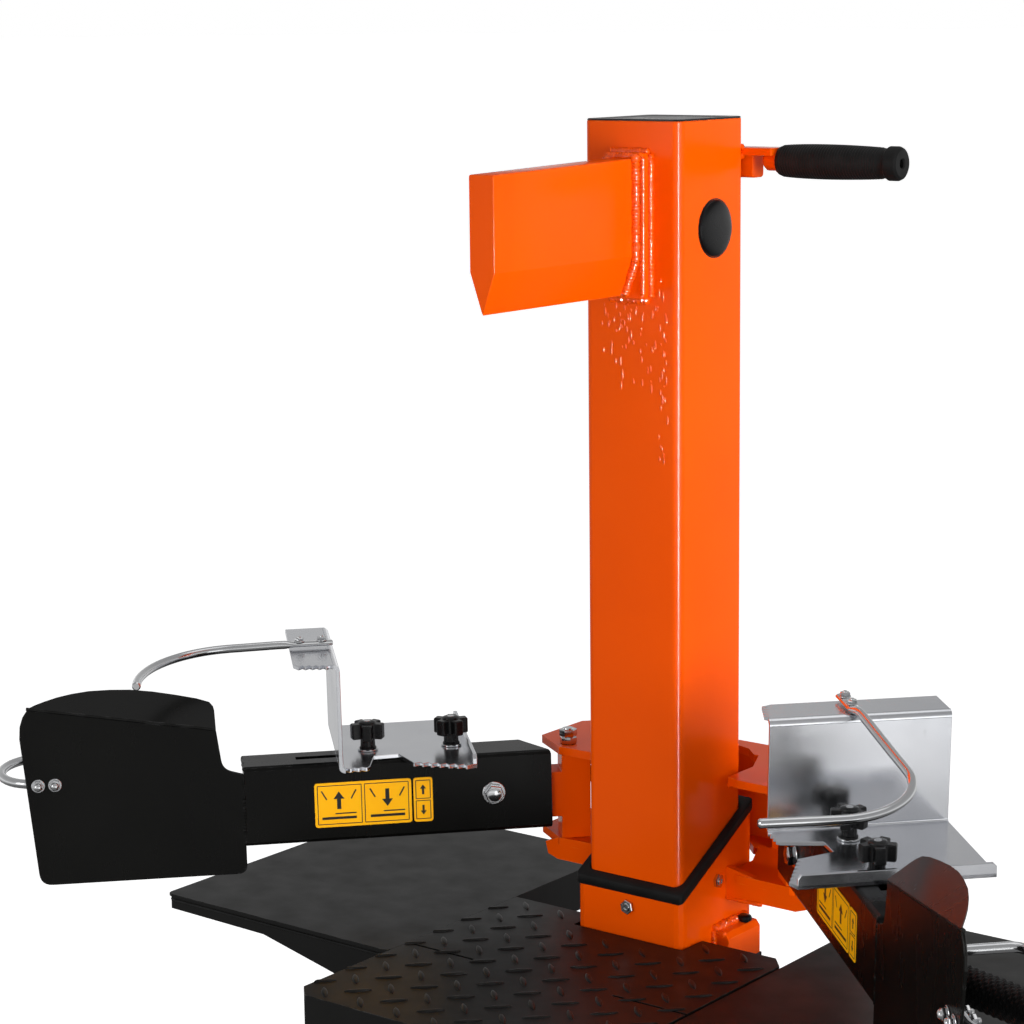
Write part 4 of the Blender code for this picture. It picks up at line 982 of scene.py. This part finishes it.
def hand_bars(side, place, body):
    """The bent bar round the hand, with its end pressed flat where it is bolted, and the studded grip."""
    radius = 4.5
    front = GUARD_IN - 0.3 - radius
    back, inner, outer = -78.0, 392.0, 560.0
    middle, reach, start = (front + back) / 2, (front - back) / 2, outer - 36
    plan = [(GUARD_BOLTS[0] - 12 + step, front) for step in (0, 7, 14, 21)]
    for angle in range(90, -91, -9):
        swing = math.radians(angle)
        plan.append((start + 36 * math.cos(swing), middle + reach * math.sin(swing)))
    plan += [(500, back), (470, back), (440, back), (inner + 15, back)]
    plan += arc((inner + 13, back + 13), 13, -90, -180, 6)
    plan += [(inner, back + 30), (inner, -20), (inner, front), (inner, GUARD_IN - 0.6)]
    path = [(u, n, LOOP_W) for u, n in plan]

    def section(run):
        flat = min(1.0, max(0.0, (38 - run) / 8))
        return radius * (1 + 0.15 * flat), radius * (1 + 0.25 * flat)
    bm = bmesh.new()
    sweep(bm, path, section, 16, place, round_ends=False)
    piece(f"loop_bar_{side}", bm, ZINC_BAR, body, [f"hand_loop_{side}"])

    first = Vector((324.0, -7.5, -4.4))
    last = Vector((548.0, -58.0, 36.0))

    def at(u):
        return first.lerp(last, (u - first.x) / (last.x - first.x))
    start, end = at(368), at(520)
    length = (end - start).length
    profile = [(9.3, 0), (13.5, 0), (14.6, 1.0), (14.8, 3)]
    spot = 4.0
    while spot < length - 8:
        profile += [(14.6, spot), (15.2, spot + 1.2), (15.2, spot + 2.4), (14.6, spot + 3.7)]
        spot += 5.0
    profile += [(14.8, length - 3), (14.4, length - 1), (13, length), (0, length)]

    def stud(angle, height):
        row = round((height - 5.8) / 5.0)
        if not 4 < height < length - 6:
            return 1.0
        turn = angle * 16 + (math.pi if row % 2 else 0)
        return 1.0 + 0.05 * max(0.0, math.cos(turn))
    bm = bmesh.new()
    lathe(bm, profile, place @ aim(start, end - start), 96, stud)
    piece(f"studded_grip_{side}", bm, RUBBER, body, [f"control_grip_{side}"], angle=60)


# ---------------------------------------------------------------- claws, knobs and hooks

CLAW_W = TUBE_H + 0.3               # underside of the claw's foot
CLAW_TOP = TUBE_H + SHEET + 104
CLAW_BACK, CLAW_FRONT = -101, 66


def toothed(start, end, teeth, depth):
    """A saw-toothed line between two places; the teeth point to higher second coordinates."""
    first, last = Vector(start), Vector(end)
    along = last - first
    out = Vector((-along.y, along.x)).normalized() * depth
    if out.y < 0:
        out = -out
    points = []
    for tooth in range(teeth):
        base = first + along * (tooth / teeth)
        points += [base, base + along * (0.42 / teeth) + out, base + along * (0.58 / teeth) + out]
    return [tuple(point) for point in points + [last]]


def claw_place(side, place):
    """Local frame of a claw: d away from its upright web over the foot, n towards the log, w up."""
    inverse = place.inverted()
    near = inverse @ joint_at(f"knob_near_{side}_turn")
    far = inverse @ joint_at(f"knob_far_{side}_turn")
    way = 1 if far.x > near.x else -1
    return place @ shift(near.x - way * 29.0, 0, 0) @ Matrix.Diagonal((way, 1, 1, 1)), way


def claw(side, place, body):
    """One bent zinc sheet: toothed foot, upright web, toothed upper flange and a lip at the foot's end."""
    bend = 6.0
    base = bend - SHEET
    back, front = CLAW_BACK, CLAW_FRONT
    foot = [(base, front)] + toothed((3, 62), (26, 60.5), 3, 3.6) + [(33, 24), (57, 22)]
    foot += toothed((67, 52), (124, 76), 7, 4.6) + [(129, 74), (129, back), (base, back)]
    bm = bmesh.new()
    prism(bm, foot, CLAW_W, CLAW_W + SHEET, place, 0.5)
    web = [(back, CLAW_W + bend), (front, CLAW_W + bend), (front, CLAW_TOP - bend), (back, CLAW_TOP - bend)]
    prism(bm, web, -SHEET, 0, place @ FROM_SIDE, 0.5)
    upper = [(-bend, back), (-bend, front)] + toothed((-9, 64), (-42, 58), 5, 4.6) + [(-44, 54), (-44, back)]
    prism(bm, upper, CLAW_TOP - SHEET, CLAW_TOP, place, 0.5)
    for centre, start in (((base, CLAW_W + bend), 180), ((-bend, CLAW_TOP - bend), 0)):
        section = arc(centre, bend, start, start + 90, 8) + arc(centre, bend - SHEET, start + 90, start, 8)
        prism(bm, section, -front, -back, place @ FROM_FRONT)
    lip = [(back, CLAW_W), (74, CLAW_W), (74, CLAW_W + 9), (71, CLAW_W + 13), (back + 3, CLAW_W + 13),
           (back, CLAW_W + 10)]
    prism(bm, lip, 125, 129, place @ FROM_SIDE, 0.5)
    piece(f"claw_sheet_{side}", bm, ZINC, body, [f"claw_bracket_{side}"], angle=30)


KNOB_TURN = {("near", "left"): 0.2, ("far", "left"): 0.75, ("near", "right"): 0.5, ("far", "right"): 0.1}


def knobs(side, place):
    for which in ("near", "far"):
        body = f"knob_{which}_{side}"
        at = place.inverted() @ joint_at(body + "_turn")
        seat = CLAW_W + SHEET + 0.3

        bm = bmesh.new()
        place_knob = place @ shift(at.x, at.y, 0) @ turned(KNOB_TURN[which, side])
        star = []
        for turn in circle(5):
            out = Vector(polar(1.0, turn))
            over = Vector((-out.y, out.x))
            valley = Vector(polar(1.0, turn - TAU / 10)) * 8.4
            star += [tuple(valley), tuple(out * 16.6 - over * 4.9), tuple(out * 16.6 + over * 4.9)]
        star = fillet(star, [3.0, 1.8, 1.8] * 5, 4)
        prism(bm, star, seat + 12.2, seat + 27.4, place_knob, 1.0)
        crown = [(8.6, seat + 27.2), (8.2, seat + 28.6), (6.4, seat + 29.4), (0, seat + 29.6)]
        lathe(bm, crown, place_knob, 32)
        neck = [(6.2, seat + 1.9), (8.4, seat + 1.9), (8.4, seat + 3.0), (7.2, seat + 4.2),
                (6.9, seat + 12.6)]
        lathe(bm, neck, place_knob, 60,
              lambda angle, z: 1 + (0.03 * math.cos(15 * angle) if z > seat + 4 else 0))
        piece(f"star_knob_{which}_{side}", bm, PLASTIC, body, [body], angle=40)
        bm = bmesh.new()
        spot = place @ shift(at.x, at.y, 0)
        washer(bm, 4.4, 10.4, seat, seat + 1.8, spot)
        lathe(bm, [(3.9, TUBE_H - 12), (3.9, seat + 2)], spot, 20)
        lathe(bm, [(0, seat + 29.4), (3.4, seat + 29.4), (3.0, seat + 29.9), (0, seat + 30)], spot, 20)
        hexagon(bm, 16, TUBE_H - 12.2, TUBE_H - 3.6, spot, True)
        piece(f"knob_stud_{which}_{side}", bm, ZINC_BAR, body)


HOOK_N = -12                        # line of the hook rod's two bolts
# straight reach, side step, the bend's two half axes, straight tail, slope
HOOK_ROUTE = {"left": (82.0, -14.0, 88.0, 122.0, 0.0, 0.03), "right": (134.0, -26.0, 63.0, 76.0, 70.0, 0.21)}


def hook(side, place, way, web, body):
    """The bent rod on the claw's upper flange, with its bolted end pressed flat."""
    radius = 4.2
    level = CLAW_TOP + 0.3 + radius
    bolted = web - way * 23.0
    reach, step_aside, bend_u, bend_n, tail, slope = HOOK_ROUTE[side]
    turn = bolted + reach
    step = step_aside - HOOK_N
    plan = [(bolted + along, HOOK_N) for along in (-21, 0, 20)] + [(bolted + 33, HOOK_N + step * 0.12)]
    plan += [(bolted + 33 + (reach - 33) * t, HOOK_N + step * (0.12 + 0.88 * t)) for t in (0.33, 0.66, 1.0)]
    for angle in range(10, 91, 10):
        swing = math.radians(angle)
        plan.append((turn + bend_u * math.sin(swing), step_aside + bend_n * (1 - math.cos(swing))))
    if tail:
        plan += [(turn + bend_u - 2 * t, step_aside + bend_n + tail * t) for t in (0.5, 1.0)]
    path = [(u, n, level - max(0.0, u - bolted - 33) * slope) for u, n in plan]

    def section(run):
        flat = min(1.0, max(0.0, (46 - run) / 8))
        return radius * (1 + 0.45 * flat), radius * (1 - 0.38 * flat)
    bm = bmesh.new()
    sweep(bm, curve_through(path, 4), section, 16, place)
    piece(f"hook_bar_{side}", bm, ZINC_BAR, body, [f"hook_rod_{side}"])
    bm = bmesh.new()
    for twist, offset in enumerate((-11.0, 11.0)):
        spot = place @ aim((bolted + offset, HOOK_N, level + radius * 0.6), (0, 0, 1), 17 * twist)
        washer(bm, 2.5, 5.4, 0, 1.0, spot)
        hexagon(bm, 8, 1.0, 4.2, spot, True)
        thread(bm, 2.4, 0.5, 5.4, spot, 1.0)
        under = place @ aim((bolted + offset, HOOK_N, CLAW_TOP - SHEET), (0, 0, -1), 9)
        hexagon(bm, 8, 0, 3.5, under, True)
    piece(f"hook_bolts_{side}", bm, ZINC_BAR, body)


def arms():
    for side, _ in SIDES:
        place = arm_place(side)
        body = f"arm_{side}"
        arm_bolt(side, place, body)
        labels(side, place, body)
        guard(side, place, body)
        hand_bars(side, place, body)
        seat, way = claw_place(side, place)
        web = (place.inverted() @ seat.translation).x
        claw(side, seat, f"claw_{side}")
        knobs(side, place)
        hook(side, place, way, web, f"claw_{side}")


# ---------------------------------------------------------------- wheels, motor, pump, valve and switch

UNIT_Y = 150.0                      # axis of the motor and the pump
PORT_Y = 88                         # axis of the valve's ports


def mirrored(profile):
    """The profile's other half, below local Z = 0."""
    return [(radius, -z) for radius, z in reversed(profile)]


def tyre_lugs(angle, z):
    """Cuts 36 slanted grooves in the tread, clear of its middle rib."""
    grooved = 3 < abs(z) < 14 and math.cos(36 * angle + 0.12 * z) > 0.7
    return 0.98 if grooved else 1.0


def wheels():
    low, high = millimetres("axle")
    at = (low + high) / 2
    end = high.x
    bm = bmesh.new()
    place = WORLD @ shift(0, at.y, at.z) @ spin(90, "Y")
    rod = [(0, -end), (12, -end), (14, -end + 1.4), (14, -end + 4.2), (13, -end + 5), (10, -end + 5)]
    lathe(bm, rod + mirrored(rod), place, 40)
    for sign in (-1, 1):
        washer(bm, 10.1, 17, sign * (end - 5.9) - 0.7, sign * (end - 5.9) + 0.7, place)
    piece("axle_bar", bm, ZINC_BAR, "base", ["axle"])
    for side, sign in SIDES:
        low, high = millimetres(f"wheel_{side}")
        centre = (low + high) / 2
        radius = (high.z - low.z) / 2
        place = WORLD @ aim(centre, (sign, 0, 0))
        tread = radius - 0.1
        tyre = [(67, -16.5), (72, -19.2), (80, -19.9), (90, -19), (96, -16.6), (radius - 0.8, -13.4),
                (tread, -11.5), (tread, -4.2), (radius - 2, -3.4), (radius - 2, -2.2), (tread, -1.4)]
        bm = bmesh.new()
        lathe(bm, tyre + mirrored(tyre) + [(66, 0), tyre[0]], place, 144, tyre_lugs)
        for ring in (76, 88):
            lathe(bm, [(ring - 0.7, 19.3), (ring - 0.3, 20.0), (ring + 0.3, 20.0), (ring + 0.7, 19.3),
                       (ring - 0.7, 19.3)], place, 96)
        piece(f"tyre_{side}", bm, TYRE, f"wheel_{side}", [f"wheel_{side}"], angle=30)
        rim = [(10.5, 22), (17.4, 22), (18.6, 21), (19.4, 9), (22, 6.4), (27, 5.4), (54, 5.4), (58, 7),
               (62, 15.4), (64.5, 18.4), (68, 19), (69.4, 17.6)]
        bm = bmesh.new()
        lathe(bm, rim + mirrored(rim) + [rim[0]], place, 72)
        spoke = fillet([(18, -3.4), (60, -2.2), (60, 2.2), (18, 3.4)], 0.8, 2)
        for low_face, high_face in ((-12.6, -5), (5, 12.6)):
            for angle in circle(6):
                prism(bm, spoke, low_face, high_face, place @ turned(angle), 0.7)
        lathe(bm, [(11, 22), (15.6, 22), (15, 22.4), (11, 22.4), (11, 22)], place, 48)
        piece(f"wheel_rim_{side}", bm, RIM, f"wheel_{side}", angle=30)


def base_parts():
    low, high = millimetres("base_plate")
    column = millimetres("fixed_column")[1].y
    floor = millimetres("fixed_column")[0].z
    bm = bmesh.new()
    edge = column + 1.0
    cut = edge - 7
    loop = [(cut, -edge), (edge, -cut), (edge, cut), (cut, edge), (-cut, edge), (-edge, cut), (-edge, -cut),
            (-cut, -edge), (cut, -edge)]
    bead(bm, [(x, y, floor + 1) for x, y in loop], 7)
    seam = floor + 0.6
    for sign in (-1, 1):
        for y in (-5.2, 5.2):
            bead(bm, [(sign * (edge + 2), y, seam), (sign * (edge + 78), y, seam)], 5)
            bead(bm, [(sign * (edge - 0.4), y, floor + 4), (sign * (edge - 0.4), y, 148)], 5)
        for x in (176.8, 187.2):
            bead(bm, [(sign * x, 96, seam), (sign * x, 200, seam)], 5)
    piece("base_welds", bm, BLACK, "base", angle=60)
    bm = bmesh.new()
    for x in (-1, 1):
        for y in (low.y + 30, low.y + 250):
            place = WORLD @ shift(x * (high.x - 26), y, floor) @ turned(0.4 * x + y)
            screw(bm, place, 13, 11, 5.5)
    piece("base_bolts", bm, ZINC_BAR, "base")


def tank_parts():
    low, high = millimetres("oil_tank")
    middle = (low.y + high.y) / 2
    bm = bmesh.new()
    for z in (low.z + 1.6, high.z - 1.6):
        ring = rounded(high.x + 0.1, (high.y - low.y) / 2 + 0.1, 12, 5, (0, middle))
        bead(bm, [(x, y, z) for x, y in ring + ring[:1]], 3.4)
    piece("tank_seams", bm, BLACK, "base", angle=60)
    bm = bmesh.new()
    for x, y in ((-66, 92), (-66, 200), (66, 200)):
        screw(bm, WORLD @ shift(x, y, high.z) @ turned(x + y), 10, 9, 4.5)
    back = aim((0, high.y, low.z + 22), (0, 1, 0), 10)
    screw(bm, WORLD @ back, 17, 12, 5)
    piece("tank_bolts", bm, ZINC_BAR, "base")
    bm = bmesh.new()
    glass = WORLD @ aim((0, high.y, low.z + 150), (0, 1, 0))
    washer(bm, 10, 15, -0.2, 3.6, glass)
    lathe(bm, [(10.2, 1.0), (10.2, 2.4), (8, 3.2), (0, 3.5)], glass, 40)
    piece("oil_sight", bm, CAST, "base")
    low, high = millimetres("oil_cap")
    at = (low + high) / 2
    seat = high.z - 17.7
    bm = bmesh.new()

    def grip_grooves(angle, z):
        return 0.955 if seat + 0.8 < z < seat + 11 and math.cos(24 * angle) > 0.3 else 1.0
    lathe(bm, [(0, low.z), (3, low.z), (3, seat - 12), (9.8, seat - 12), (9.8, seat), (15.8, seat),
               (16.9, seat + 1.2), (16.9, seat + 10), (15.6, seat + 11.8), (11, seat + 12.4),
               (10, high.z - 1.2), (8.6, high.z), (0, high.z)],
          WORLD @ shift(at.x, at.y, 0), 96, grip_grooves)
    piece("filler_cap", bm, RED, "base", ["oil_cap"], angle=30)


FINS = 7
FIN = ((62, -1), (63, 0), (70.2, 1.2), (71, 2.6), (71, 5), (70.2, 6.4), (63, 7.6), (62, 8.6))


def motor_parts():
    low, high = millimetres("motor_body")
    place = WORLD @ shift(0, UNIT_Y, 0)
    base, top = low.z, high.z
    bm = bmesh.new()
    profile = [(0, base), (69, base), (70, base + 1), (70, base + 11), (68.6, base + 12.6), (63, base + 18),
               (62, base + 21)]
    for fin in range(FINS):
        z = base + 27.7 + fin * 19
        profile += [(radius, z + rise) for radius, rise in FIN]
    profile += [(62, top - 1), (61, top), (0, top)]
    lathe(bm, profile, place, 96)
    prism(bm, rounded(30, 54, 6, 5, (UNIT_Y, (base + top) / 2 + 17)), 40, high.x, WORLD @ FROM_SIDE, 1.5)
    piece("motor_case", bm, CAST, "base", ["motor_body"], angle=30)
    bm = bmesh.new()
    for turn in (40, 130, 220, 310):
        spot = place @ spin(turn) @ shift(65.4, 0, base + 12)
        screw(bm, spot @ turned(turn), 8, 4.6, 4)
    fan_low, fan_high = millimetres("motor_fan_cover")
    for turn in (60, 150, 240, 330):
        spot = place @ spin(turn) @ shift(73.6, 0, fan_low.z + 8)
        lathe(bm, [(0, -2), (4.4, -2), (4.4, 0.6), (3.2, 2.0), (1.6, 2.2), (0, 1.2)],
              spot @ spin(90, "Y"), 20)
    piece("motor_screws", bm, ZINC_BAR, "base")
    bm = bmesh.new()
    z, top = fan_low.z, fan_high.z
    profile = [(71, z), (74, z), (74, z + 4), (73.2, z + 4.8), (73.2, z + 26), (71.4, top - 11),
               (66, top - 5.6)]
    for ring in range(7):
        outer = 62 - ring * 7
        lift = top - 5 + 4.0 * (1 - (outer / 66) ** 2)
        profile += [(outer, lift), (outer - 0.5, lift - 2.6), (outer - 3.6, lift - 2.6),
                    (outer - 4.1, lift + 0.3)]
    profile += [(12, top - 0.4), (4, top - 0.2), (4, top - 6), (62, top - 11), (70.8, z + 24), (71, z)]
    lathe(bm, profile, place, 96)
    lathe(bm, [(0, top - 5), (5, top - 5), (5, top - 0.6), (4.2, top), (0, top)], place, 32)
    crown = [(12, top - 0.6), (40, top - 2.6), (66, top - 5.4), (66, top - 9), (12, top - 5)]
    for angle in circle(8):
        prism(bm, crown, -1.6, 1.6, place @ turned(angle) @ FROM_BACK, 0.4)
    piece("fan_cover", bm, PLASTIC, "base", ["motor_fan_cover"], angle=30)


def switch_parts():
    low, high = millimetres("switch_box")
    middle = (low + high) / 2
    stand = WORLD @ FROM_SIDE
    bm = bmesh.new()
    half_y, half_z = (high.y - low.y) / 2, (high.z - low.z) / 2
    front = high.x
    rows = []
    for inward, x in ((1.4, low.x), (0, low.x + 1.4), (0, front - 14), (1.0, front - 13.6),
                      (1.0, front - 12.8), (0, front - 12.4), (0, front - 2.2), (0.8, front - 0.7),
                      (2.4, front), (34, front)):
        corner = max(1.0, 8 - inward)
        rows.append((rounded(half_y - inward, half_z - inward, corner, 6, (middle.y, middle.z)), x))
    stack(bm, rows, stand)
    buttons = [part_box(name) for name in ("start_button", "stop_button")]
    centres = [((a.y + b.y) / 2 / MM, (a.z + b.z) / 2 / MM) for a, b in buttons]
    for y, z in centres:
        washer(bm, 13.2, 15.6, high.x - 0.3, high.x + 1.0, stand @ shift(y, z, 0))
    piece("switch_case", bm, PLASTIC, "base", ["switch_box"], angle=30)
    bm = bmesh.new()
    for dy in (-1, 1):
        for dz in (-1, 1):
            spot = stand @ shift(middle.y + dy * (half_y - 7.5), middle.z + dz * (half_z - 7.5), high.x)
            head = [(0, -2), (3.4, -2), (3.4, 0.3), (2.6, 0.9), (1.2, 0.9), (0.9, 0.2), (0, 0.2)]
            lathe(bm, head, spot, 24)
    piece("switch_screws", bm, ZINC_BAR, "base")
    for name, material, (y, z) in (("start_button", GREEN, centres[0]), ("stop_button", RED, centres[1])):
        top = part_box(name)[1].x / MM
        place = stand @ shift(y, z, 0)
        bm = bmesh.new()
        lathe(bm, [(0, top - 14.5), (12.9, top - 14.5), (12.9, top - 3.4), (12.4, top - 2.0),
                   (11.2, top - 1.2), (0, top - 0.7)], place, 48)
        piece(name + "_face", bm, material, name, [name], angle=30)
        bm = bmesh.new()
        if name == "start_button":
            prism(bm, rounded(0.9, 5.2, 0.6, 3), top - 0.9, top - 0.25, place)
        else:
            washer(bm, 3.6, 5.4, top - 1.1, top - 0.25, place)
        piece(name + "_mark", bm, MARK, name)

    low, high = millimetres("power_inlet")
    middle = (low + high) / 2
    place = WORLD @ shift(middle.x, middle.y, 0)
    top, foot = high.z, low.z
    bm = bmesh.new()
    lathe(bm, [(0, top), (20, top), (20.6, top - 1), (20.6, top - 4), (19, top - 5), (19.4, top - 9),
               (20.9, top - 10), (20.9, foot + 1), (20.2, foot), (18.4, foot), (17.8, foot + 1),
               (17.8, top - 8), (0, top - 8)], place, 72)
    prism(bm, rounded(3.2, 1.6, 0.8, 3), foot + 2, top - 9, place @ shift(0, -17.2, 0))
    piece("inlet_shroud", bm, PLASTIC, "base", ["power_inlet"], angle=30)
    bm = bmesh.new()
    for angle in (90, 210, 330):
        pin = place @ spin(angle) @ shift(9, 0, 0)
        blade = [(0, top - 26), (1.6, top - 25.8), (2.3, top - 24.6), (2.4, top - 8), (0, top - 7.6)]
        lathe(bm, blade, pin, 20)
    piece("inlet_pins", bm, ZINC_BAR, "base")


def hydraulic_parts():
    low, high = millimetres("gear_pump")
    place = WORLD @ shift(0, UNIT_Y, 0)
    bm = bmesh.new()
    rows = [(1.5, low.z), (0, low.z + 1.5), (0, low.z + 12), (3, low.z + 14), (3, low.z + 30),
            (4.2, low.z + 31), (4.2, low.z + 34), (3, low.z + 35), (3, high.z - 20), (1, high.z - 18)]
    stack(bm, [(rounded(46 - inward, 42 - inward, 10, 6), z) for inward, z in rows], place)
    lathe(bm, [(0, high.z - 18), (61, high.z - 18), (62, high.z - 17), (62, high.z - 1), (61, high.z),
               (0, high.z)], place, 72)
    piece("pump_case", bm, CAST, "base", ["gear_pump"], angle=30)
    bm = bmesh.new()
    for dx in (-1, 1):
        for dy in (-1, 1):
            spot = place @ shift(dx * 38.5, dy * 34.5, low.z + 12) @ turned(dx + 2 * dy)
            screw(bm, spot, 8, 5.4, 4.4)
    valve_low, valve_high = millimetres("valve_block")
    for x in (-27, 27):
        for z in (valve_low.z + 10, valve_high.z - 10):
            spot = WORLD @ aim((x, valve_high.y, z), (0, 1, 0), x + z)
            washer(bm, 2.6, 6.2, -0.2, 1.0, spot)
            lathe(bm, [(4.9, 0.8), (4.9, 5.2), (4.4, 5.8), (2.6, 5.8), (2.6, 3.2), (0, 3.2)], spot, 32)
    spot = WORLD @ aim((valve_high.x, PORT_Y, (valve_low.z + valve_high.z) / 2), (1, 0, 0), 12)
    hexagon(bm, 17, -0.2, 5.4, spot, True)
    lathe(bm, [(6.6, 5.2), (6.2, 6), (3, 6), (3, 3.4), (0, 3.4)], spot, 24)
    piece("unit_screws", bm, ZINC_BAR, "base")

    low, high = millimetres("pressure_pipe")
    port = high.z - 6
    ends = ((high.x, UNIT_Y, low.z + 6), (high.x, PORT_Y, port))
    path = [ends[0], (-62, UNIT_Y, low.z + 6), (-78, UNIT_Y - 4, 352), (-85.6, UNIT_Y - 12, 370),
            (-86, UNIT_Y - 40, 440), (-84, UNIT_Y - 57, 500), (-80, PORT_Y, 550), (-78, PORT_Y, 612),
            (-72, PORT_Y, port - 6), (-60, PORT_Y, port), ends[1]]
    bm = bmesh.new()
    sweep(bm, curve_through(path, 5), 5.9, 20, WORLD, round_ends=False)
    for end in ends:
        spot = WORLD @ aim(end, (-1, 0, 0), 15)
        hexagon(bm, 16, 0.2, 9.5, spot, True)
        lathe(bm, [(7.6, 9.3), (7.2, 12), (6.2, 13.2), (5.6, 13.2)], spot, 28)
    piece("pipe_line", bm, ZINC_BAR, "base", ["pressure_pipe"])


# ---------------------------------------------------------------- finishes of the carried-over solids

# material: {node: width of its softened edges, 0 for none}
NODE_FINISH = {
    ORANGE: {"fixed_column": 0.8, "bracket_frame": 0.9, "arm_yoke_left": 0.9, "arm_yoke_right": 0.9},
    BLACK: {"base_plate": 0.9, "oil_tank": 0.8, "arm_tube_left": 0.8, "arm_tube_right": 0.8},
    GREY: {"checker_table": 0.7, "side_table_left": 0.5, "side_table_right": 0.5},
    ZINC_BAR: {"trip_lever_left": 0, "trip_lever_right": 0},
    STEEL: {"valve_spool": 0, "cylinder_barrel": 0, "piston_rod": 0, "rod_pin": 0},
    RUBBER: {"base_strip": 1.0},
    CAST: {"valve_block": 1.2},
}


def finish_nodes():
    for material, widths in NODE_FINISH.items():
        for name, width in widths.items():
            node = NODES[name]
            node.data.materials.clear()
            node.data.materials.append(material)
            if width:
                weld = node.modifiers.new("weld", "WELD")
                weld.merge_threshold = 1e-5
                rounding = node.modifiers.new("soften", "BEVEL")
                rounding.width = width * MM
                rounding.segments = 2
                rounding.limit_method = "ANGLE"
                rounding.angle_limit = math.radians(40)


# ---------------------------------------------------------------- floor and lights

FLOOR_HALF, FLOOR_DROP = 400, 0.0005        # metres; the drop keeps the floor clear of the feet

def area_light(name, at, size, power, target=(0, 0, 0.95), diffuse=True, glossy=True):
    data = bpy.data.lights.new(name, "AREA")
    data.shape = "RECTANGLE"
    data.size, data.size_y = size
    data.energy = power
    made = bpy.data.objects.new(name, data)
    made.location = at
    made.rotation_euler = (Vector(target) - Vector(at)).to_track_quat("-Z", "Y").to_euler()
    made.visible_camera = False
    made.visible_diffuse = diffuse
    made.visible_glossy = glossy
    bpy.context.scene.collection.objects.link(made)
    return made


def white_floor():
    """A seamless floor that is a little bright of itself, and is not seen in the machine's paint."""
    shade = Shade("floor_white", specular=0.1)
    shade.core.inputs["Emission Color"].default_value = (1, 1, 1, 1)
    shade.core.inputs["Emission Strength"].default_value = 0.64
    colour = shade.mix(shade.span(shade.noise(2, 2), 0, 1), (0.93, 0.93, 0.93), (0.95, 0.95, 0.95))
    material = shade.done(colour, shade.span(shade.noise(4, 2), 0.7, 0.8))
    bm = bmesh.new()
    bmesh.ops.create_grid(bm, x_segments=8, y_segments=8, size=FLOOR_HALF)
    mesh = bpy.data.meshes.new("floor")
    bm.to_mesh(mesh)
    bm.free()
    mesh.materials.append(material)
    floor = bpy.data.objects.new("floor", mesh)
    floor.location.z = -FLOOR_DROP
    floor.visible_glossy = False
    floor.visible_diffuse = False
    bpy.context.scene.collection.objects.link(floor)


# (height, level): 0 is straight down, 0.5 the horizon and 1 straight up
DOME_LEVELS = [(0.0, 0.14), (0.30, 0.20), (0.36, 0.55), (0.47, 0.70), (0.484, 1.0), (0.515, 1.0),
               (0.56, 0.55), (0.72, 0.40), (1.0, 0.36)]


def dome():
    """White at the horizon, dimmer overhead and below, so that the paint has something to mirror."""
    world = bpy.data.worlds.new("studio")
    world.use_nodes = True
    tree = world.node_tree
    direction = tree.nodes.new("ShaderNodeTexCoord")
    parts = tree.nodes.new("ShaderNodeSeparateXYZ")
    height = tree.nodes.new("ShaderNodeMapRange")
    ramp = tree.nodes.new("ShaderNodeValToRGB")
    for key, value in (("From Min", -1.0), ("From Max", 1.0), ("To Min", 0.0), ("To Max", 1.0)):
        height.inputs[key].default_value = value
    for place, level in DOME_LEVELS[1:-1]:
        ramp.color_ramp.elements.new(place)
    for element, (place, level) in zip(ramp.color_ramp.elements, DOME_LEVELS):
        element.position = place
        element.color = (level, level, level, 1)
    tree.links.new(direction.outputs["Generated"], parts.inputs["Vector"])
    tree.links.new(parts.outputs["Z"], height.inputs["Value"])
    tree.links.new(height.outputs["Result"], ramp.inputs["Fac"])
    tree.links.new(ramp.outputs["Color"], tree.nodes["Background"].inputs["Color"])
    tree.nodes["Background"].inputs["Strength"].default_value = 1.0
    bpy.context.scene.world = world


# only these orange pieces mirror the strip light, which would burn out zinc and grey the black paint
STRIP_LIT = ("mast_shell", "wedge_blade", "wedge_foot", "wedge_welds", "paint_runs", "fixed_column",
             "column_welds")


def soft_boxes():
    area_light("side", (3.2, -0.5, 1.5), (1.4, 2.0), 88, glossy=False)
    area_light("front", (-1.2, -3.0, 1.6), (1.2, 1.2), 11)
    area_light("low", (1.3, -2.8, 0.85), (1.6, 0.8), 30, target=(0, 0, 0.85), glossy=False)
    area_light("top", (0.2, 0.6, 4.2), (2.4, 2.4), 12)
    area_light("sheen", (3.0, -1.5, 0.35), (1.8, 1.4), 7.5, target=(0.35, -0.2, 0.85), diffuse=False)
    strip = area_light("strip", (2.45, -1.7, 0.70), (0.6, 1.35), 420, target=(0, 0, 0.70), diffuse=False)
    lit = bpy.data.collections.new("strip_lit")
    for name in STRIP_LIT:
        lit.objects.link(bpy.data.objects[name])
    strip.light_linking.receiver_collection = lit


for build in (mast_parts, wedge_parts, paint_runs, handle_parts, column_parts, swing_pins, table_parts, arms,
              wheels, base_parts, tank_parts, motor_parts, switch_parts, hydraulic_parts, finish_nodes,
              white_floor, dome, soft_boxes):
    build()
bpy.context.scene.view_settings.view_transform = "Standard"
